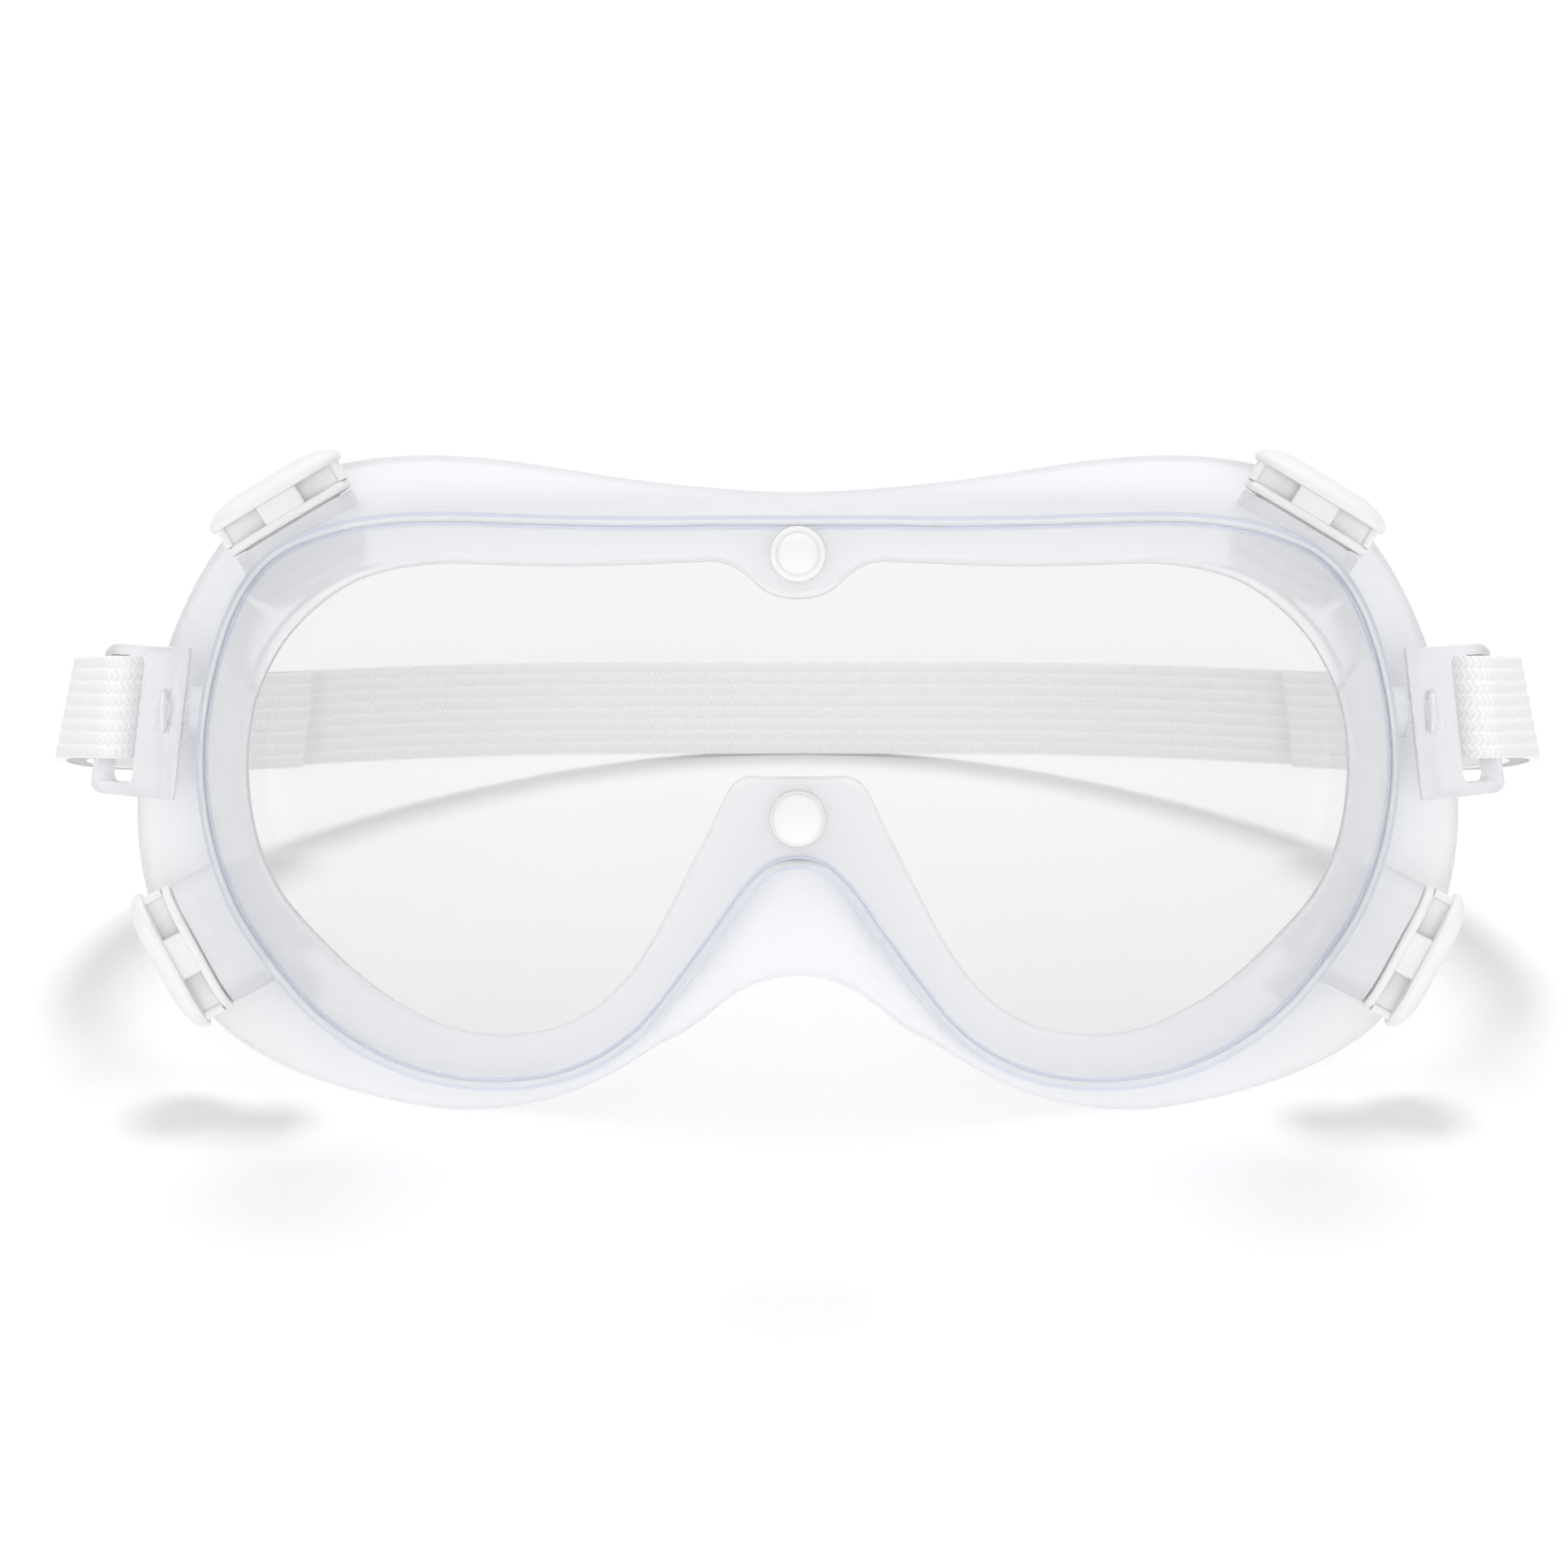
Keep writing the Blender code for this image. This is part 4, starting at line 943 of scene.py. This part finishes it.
def build_pins(material):
    inner = BOSS_BACK - GAP
    floor = COUNTERBORE_FLOOR + GAP
    head = PIN_HEAD_RADIUS
    inner_end = inner - PIN_HEAD
    profile = (
        (head - PIN_ROUND, inner_end), (head - PIN_ROUND_MIDDLE, inner_end + PIN_ROUND_MIDDLE),
        (head, inner_end + PIN_ROUND), (head, inner), (PIN_RADIUS, inner), (PIN_RADIUS, floor),
        (head - CLIP_BEVEL, floor), (head, floor + CLIP_BEVEL), (head, PIN_OUTER - PIN_ROUND),
        (head - PIN_ROUND_MIDDLE, PIN_OUTER - PIN_ROUND_MIDDLE), (head - PIN_ROUND, PIN_OUTER),
    )
    for side, word in ((-1, "left"), (1, "right")):
        pin = turned_solid("pin", profile)
        piece(f"hinge_pin_{word}", pin, material, "goggles", f"clip_pin_{word}",
              matrix=side_axis_matrix(side))


# ---------------------------------------------------------------- headband

def ground_level():
    points = frame_outline(2)
    return min(-rim_depth(p.x, p.y) * math.sin(LEAN) + p.y * math.cos(LEAN) for p in points)


def strap_height(y):
    """Centre height of the band, which sinks from the clips to the ground, and sags a little between."""
    front = CLIP_BAR.y
    rear = STRAP_ROUTE[-1][1]
    rear_height = (ground_level() + rear * math.sin(LEAN)) / math.cos(LEAN) + STRAP_WIDTH / 2
    share = (y - front) / (rear - front)
    return HINGE_Z + (rear_height - HINGE_Z) * share - STRAP_SAG * math.sin(math.pi * share) ** 2


def strap_half_path():
    """Centre line of one half, as (x, y, lean): inner layer, fold through the slot, outer layer."""
    route = [Vector((*p, lean)) for p, lean in zip(STRAP_ROUTE, STRAP_LEAN)]
    past_centre = Vector((-route[-2].x, route[-2].y, route[-2].z))
    outer = smooth_path(route + [past_centre], STRAP_STEPS, closed=False)[:-STRAP_STEPS]
    radius = STRAP_LAYER_SPACING / 2
    turn_centre = CLIP_BAR - CLIP_DIRECTION * STRAP_FOLD
    fold = []
    for i in range(STRAP_TURN_STEPS + 1):
        angle = math.pi * i / STRAP_TURN_STEPS
        turn = CLIP_OUTWARD * math.cos(angle) + CLIP_DIRECTION * math.sin(angle)
        fold.append(Vector((*(turn_centre - turn * radius), STRAP_LEAN[0])))
    doubled = outer[:SLIDE_ROUTE_INDEX * STRAP_STEPS + STRAP_STEPS + 1]
    inner = []
    for i, p in enumerate(doubled):
        step = doubled[min(i + 1, len(doubled) - 1)] - doubled[max(i - 1, 0)]
        side = Vector((step.y, -step.x, 0.0)).normalized()
        inner.append(p - side * STRAP_LAYER_SPACING)
    return list(reversed(inner)) + fold + outer


def rib_profile():
    """Half of the band's cut as (height, half thickness, share across), with thin raised cords."""
    samples = STRAP_RIBS * STRAP_RIB_POINTS
    profile = []
    for i in range(samples + 1):
        share = i / samples
        hollow = abs(math.sin(math.pi * STRAP_RIBS * share)) ** 0.5
        thickness = STRAP_THICKNESS / 2 - STRAP_RIB_DEPTH * hollow
        profile.append((STRAP_WIDTH * (0.5 - share), thickness, share))
    return profile


def build_strap(material):
    half = strap_half_path()
    mirrored = [Vector((-p.x, p.y, p.z)) for p in reversed(half[:-1])]
    path = half + mirrored
    profile = rib_profile()
    sections = []
    length = 0.0
    lengths = []
    for i, p in enumerate(path):
        step = path[min(i + 1, len(path) - 1)] - path[max(i - 1, 0)]
        side = Vector((step.y, -step.x, 0.0)).normalized()
        centre = Vector((p.x, p.y, strap_height(p.y)))
        up = Vector((-p.z if p.x > 0 else p.z, 0.0, 1.0))
        front = [centre + side * depth + up * height for height, depth, _ in profile]
        back = [centre - side * depth + up * height for height, depth, _ in reversed(profile)]
        sections.append(front + back)
        if i:
            length += math.dist(path[i - 1][:2], p[:2])
        lengths.append(length)
    mesh = loop_mesh("headband", sections, closed=False)
    shares = [share for _, _, share in profile] + [share for _, _, share in reversed(profile)]
    uv = mesh.uv_layers.new(name="knit")
    size = len(shares)
    for loop in mesh.loops:
        row, column = divmod(loop.vertex_index, size)
        uv.data[loop.index].uv = (lengths[row] / STITCH, shares[column] * STRAP_RIBS)
    return piece("headband_band", mesh, material, "headband", "headband_strap", sharp=75.0, ground=True)


def slide_matrix(side):
    """Places a slide on the band, and says whether its y points outwards (1) or inwards (-1)."""
    here = Vector(STRAP_ROUTE[SLIDE_ROUTE_INDEX])
    before = Vector(STRAP_ROUTE[SLIDE_ROUTE_INDEX - 1])
    along = (Vector(STRAP_ROUTE[SLIDE_ROUTE_INDEX + 1]) - before).normalized()
    x_axis = Vector((side * along.x, along.y, 0.0))
    z_axis = Vector((-side * STRAP_LEAN[SLIDE_ROUTE_INDEX], 0.0, 1.0))
    y_axis = z_axis.cross(x_axis).normalized()
    z_axis = x_axis.cross(y_axis).normalized()
    matrix = Matrix((x_axis, y_axis, z_axis)).transposed().to_4x4()
    matrix.translation = Vector((side * here.x, here.y, strap_height(here.y)))
    return matrix, (1 if y_axis.x * side > 0 else -1)


def slide_bars():
    """The slide's two rails and three bars, as (x, y, z) ranges with y outwards."""
    end = SLIDE_LENGTH / 2
    layer = STRAP_THICKNESS / 2 + GAP
    face = layer + SLIDE_BAR_THICKNESS
    rail = STRAP_WIDTH / 2 + SLIDE_CLEARANCE
    bar_z = (-rail - SLIDE_OVERLAP, rail + SLIDE_OVERLAP)
    bar_y = (layer, face - SLIDE_STEP)
    bar_end = end - SLIDE_STEP
    return (
        ((-end, end), (-face, face), (rail, rail + SLIDE_RAIL)),
        ((-end, end), (-face, face), (-rail - SLIDE_RAIL, -rail)),
        ((end - SLIDE_BAR, bar_end), bar_y, bar_z),
        ((-bar_end, SLIDE_BAR - end), bar_y, bar_z),
        ((-SLIDE_BAR / 2, SLIDE_BAR / 2), (-layer - CLIP_THICKNESS, -layer), bar_z),
    )


def build_slides(material):
    for side, word in ((-1, "left"), (1, "right")):
        matrix, out = slide_matrix(side)
        meshes = []
        for xs, ys, zs in slide_bars():
            ys = sorted(y * out for y in ys)
            meshes.append(box_between("bar", (xs[0], ys[0], zs[0]), (xs[1], ys[1], zs[1])))
        mesh = combined(meshes[0], [("UNION", other) for other in meshes[1:]], bevel=SLIDE_BEVEL)
        piece(f"length_slide_{word}", mesh, material, "headband", f"strap_slide_{word}",
              matrix=matrix)


# ---------------------------------------------------------------- studio

def build_floor():
    mesh = bpy.data.meshes.new("studio_floor")
    corners = [(x * FLOOR_HALF, y * FLOOR_HALF, 0) for x, y in ((-1, -1), (1, -1), (1, 1), (-1, 1))]
    mesh.from_pydata(corners, [], [(0, 1, 2, 3)])
    mat, tree, shader = new_material("studio_white", Roughness=0.9, Specular_IOR_Level=0.1)
    paper = noise_output(tree, 900.0)
    colour_from(tree, shader, paper, (0.93, 0.93, 0.93), (0.95, 0.95, 0.95))
    mesh.materials.append(mat)
    floor = bpy.data.objects.new("studio_floor", mesh)
    floor.location.z = -FLOOR_DROP
    bpy.context.scene.collection.objects.link(floor)


def add_sun(name, towards, angle, strength):
    """A very soft even light from the direction that `towards` points to."""
    data = bpy.data.lights.new(name, "SUN")
    data.angle = math.radians(angle)
    data.energy = strength
    light = bpy.data.objects.new(name, data)
    light.visible_glossy = False
    light.visible_transmission = False
    light.rotation_euler = Vector(towards).to_track_quat("Z", "Y").to_euler()
    bpy.context.scene.collection.objects.link(light)


def build_studio():
    scene = bpy.context.scene
    scene.view_settings.view_transform = "Standard"
    world = bpy.data.worlds.new("studio")
    scene.world = world
    world.use_nodes = True
    tree = world.node_tree
    background = tree.nodes["Background"]
    sky = add(tree, "ShaderNodeTexCoord")
    split = add(tree, "ShaderNodeSeparateXYZ")
    tree.links.new(sky.outputs["Generated"], split.inputs[0])
    strength = map_range(tree, split.outputs[2], WORLD_HORIZON, WORLD_ZENITH)
    tree.links.new(strength, background.inputs["Strength"])
    background.inputs["Color"].default_value = (1.0, 1.0, 1.0, 1.0)
    for name, towards, angle, strength in SUNS:
        add_sun(name, towards, angle, strength)
    build_floor()


def build_camera():
    data = bpy.data.cameras.new("camera")
    data.lens = CAMERA_LENS
    data.sensor_width = CAMERA_SENSOR
    data.shift_x = CAMERA_SHIFT
    data.clip_start = 0.01
    camera = bpy.data.objects.new("camera", data)
    out = Vector((0.0, -math.cos(CAMERA_ELEVATION), math.sin(CAMERA_ELEVATION)))
    camera.location = ORIGIN + out * CAMERA_DISTANCE
    camera.rotation_euler = (-out).to_track_quat("-Z", "Y").to_euler()
    bpy.context.scene.collection.objects.link(camera)
    bpy.context.scene.camera = camera


def main():
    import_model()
    build_camera()
    build_studio()
    vinyl = vinyl_material()
    clear = clip_material()
    white = white_material()
    build_frame(vinyl)
    build_lens(lens_material())
    build_rivets(white)
    build_vents(white)
    build_clips(clear)
    build_pins(clear)
    build_strap(elastic_material())
    build_slides(white)


main()
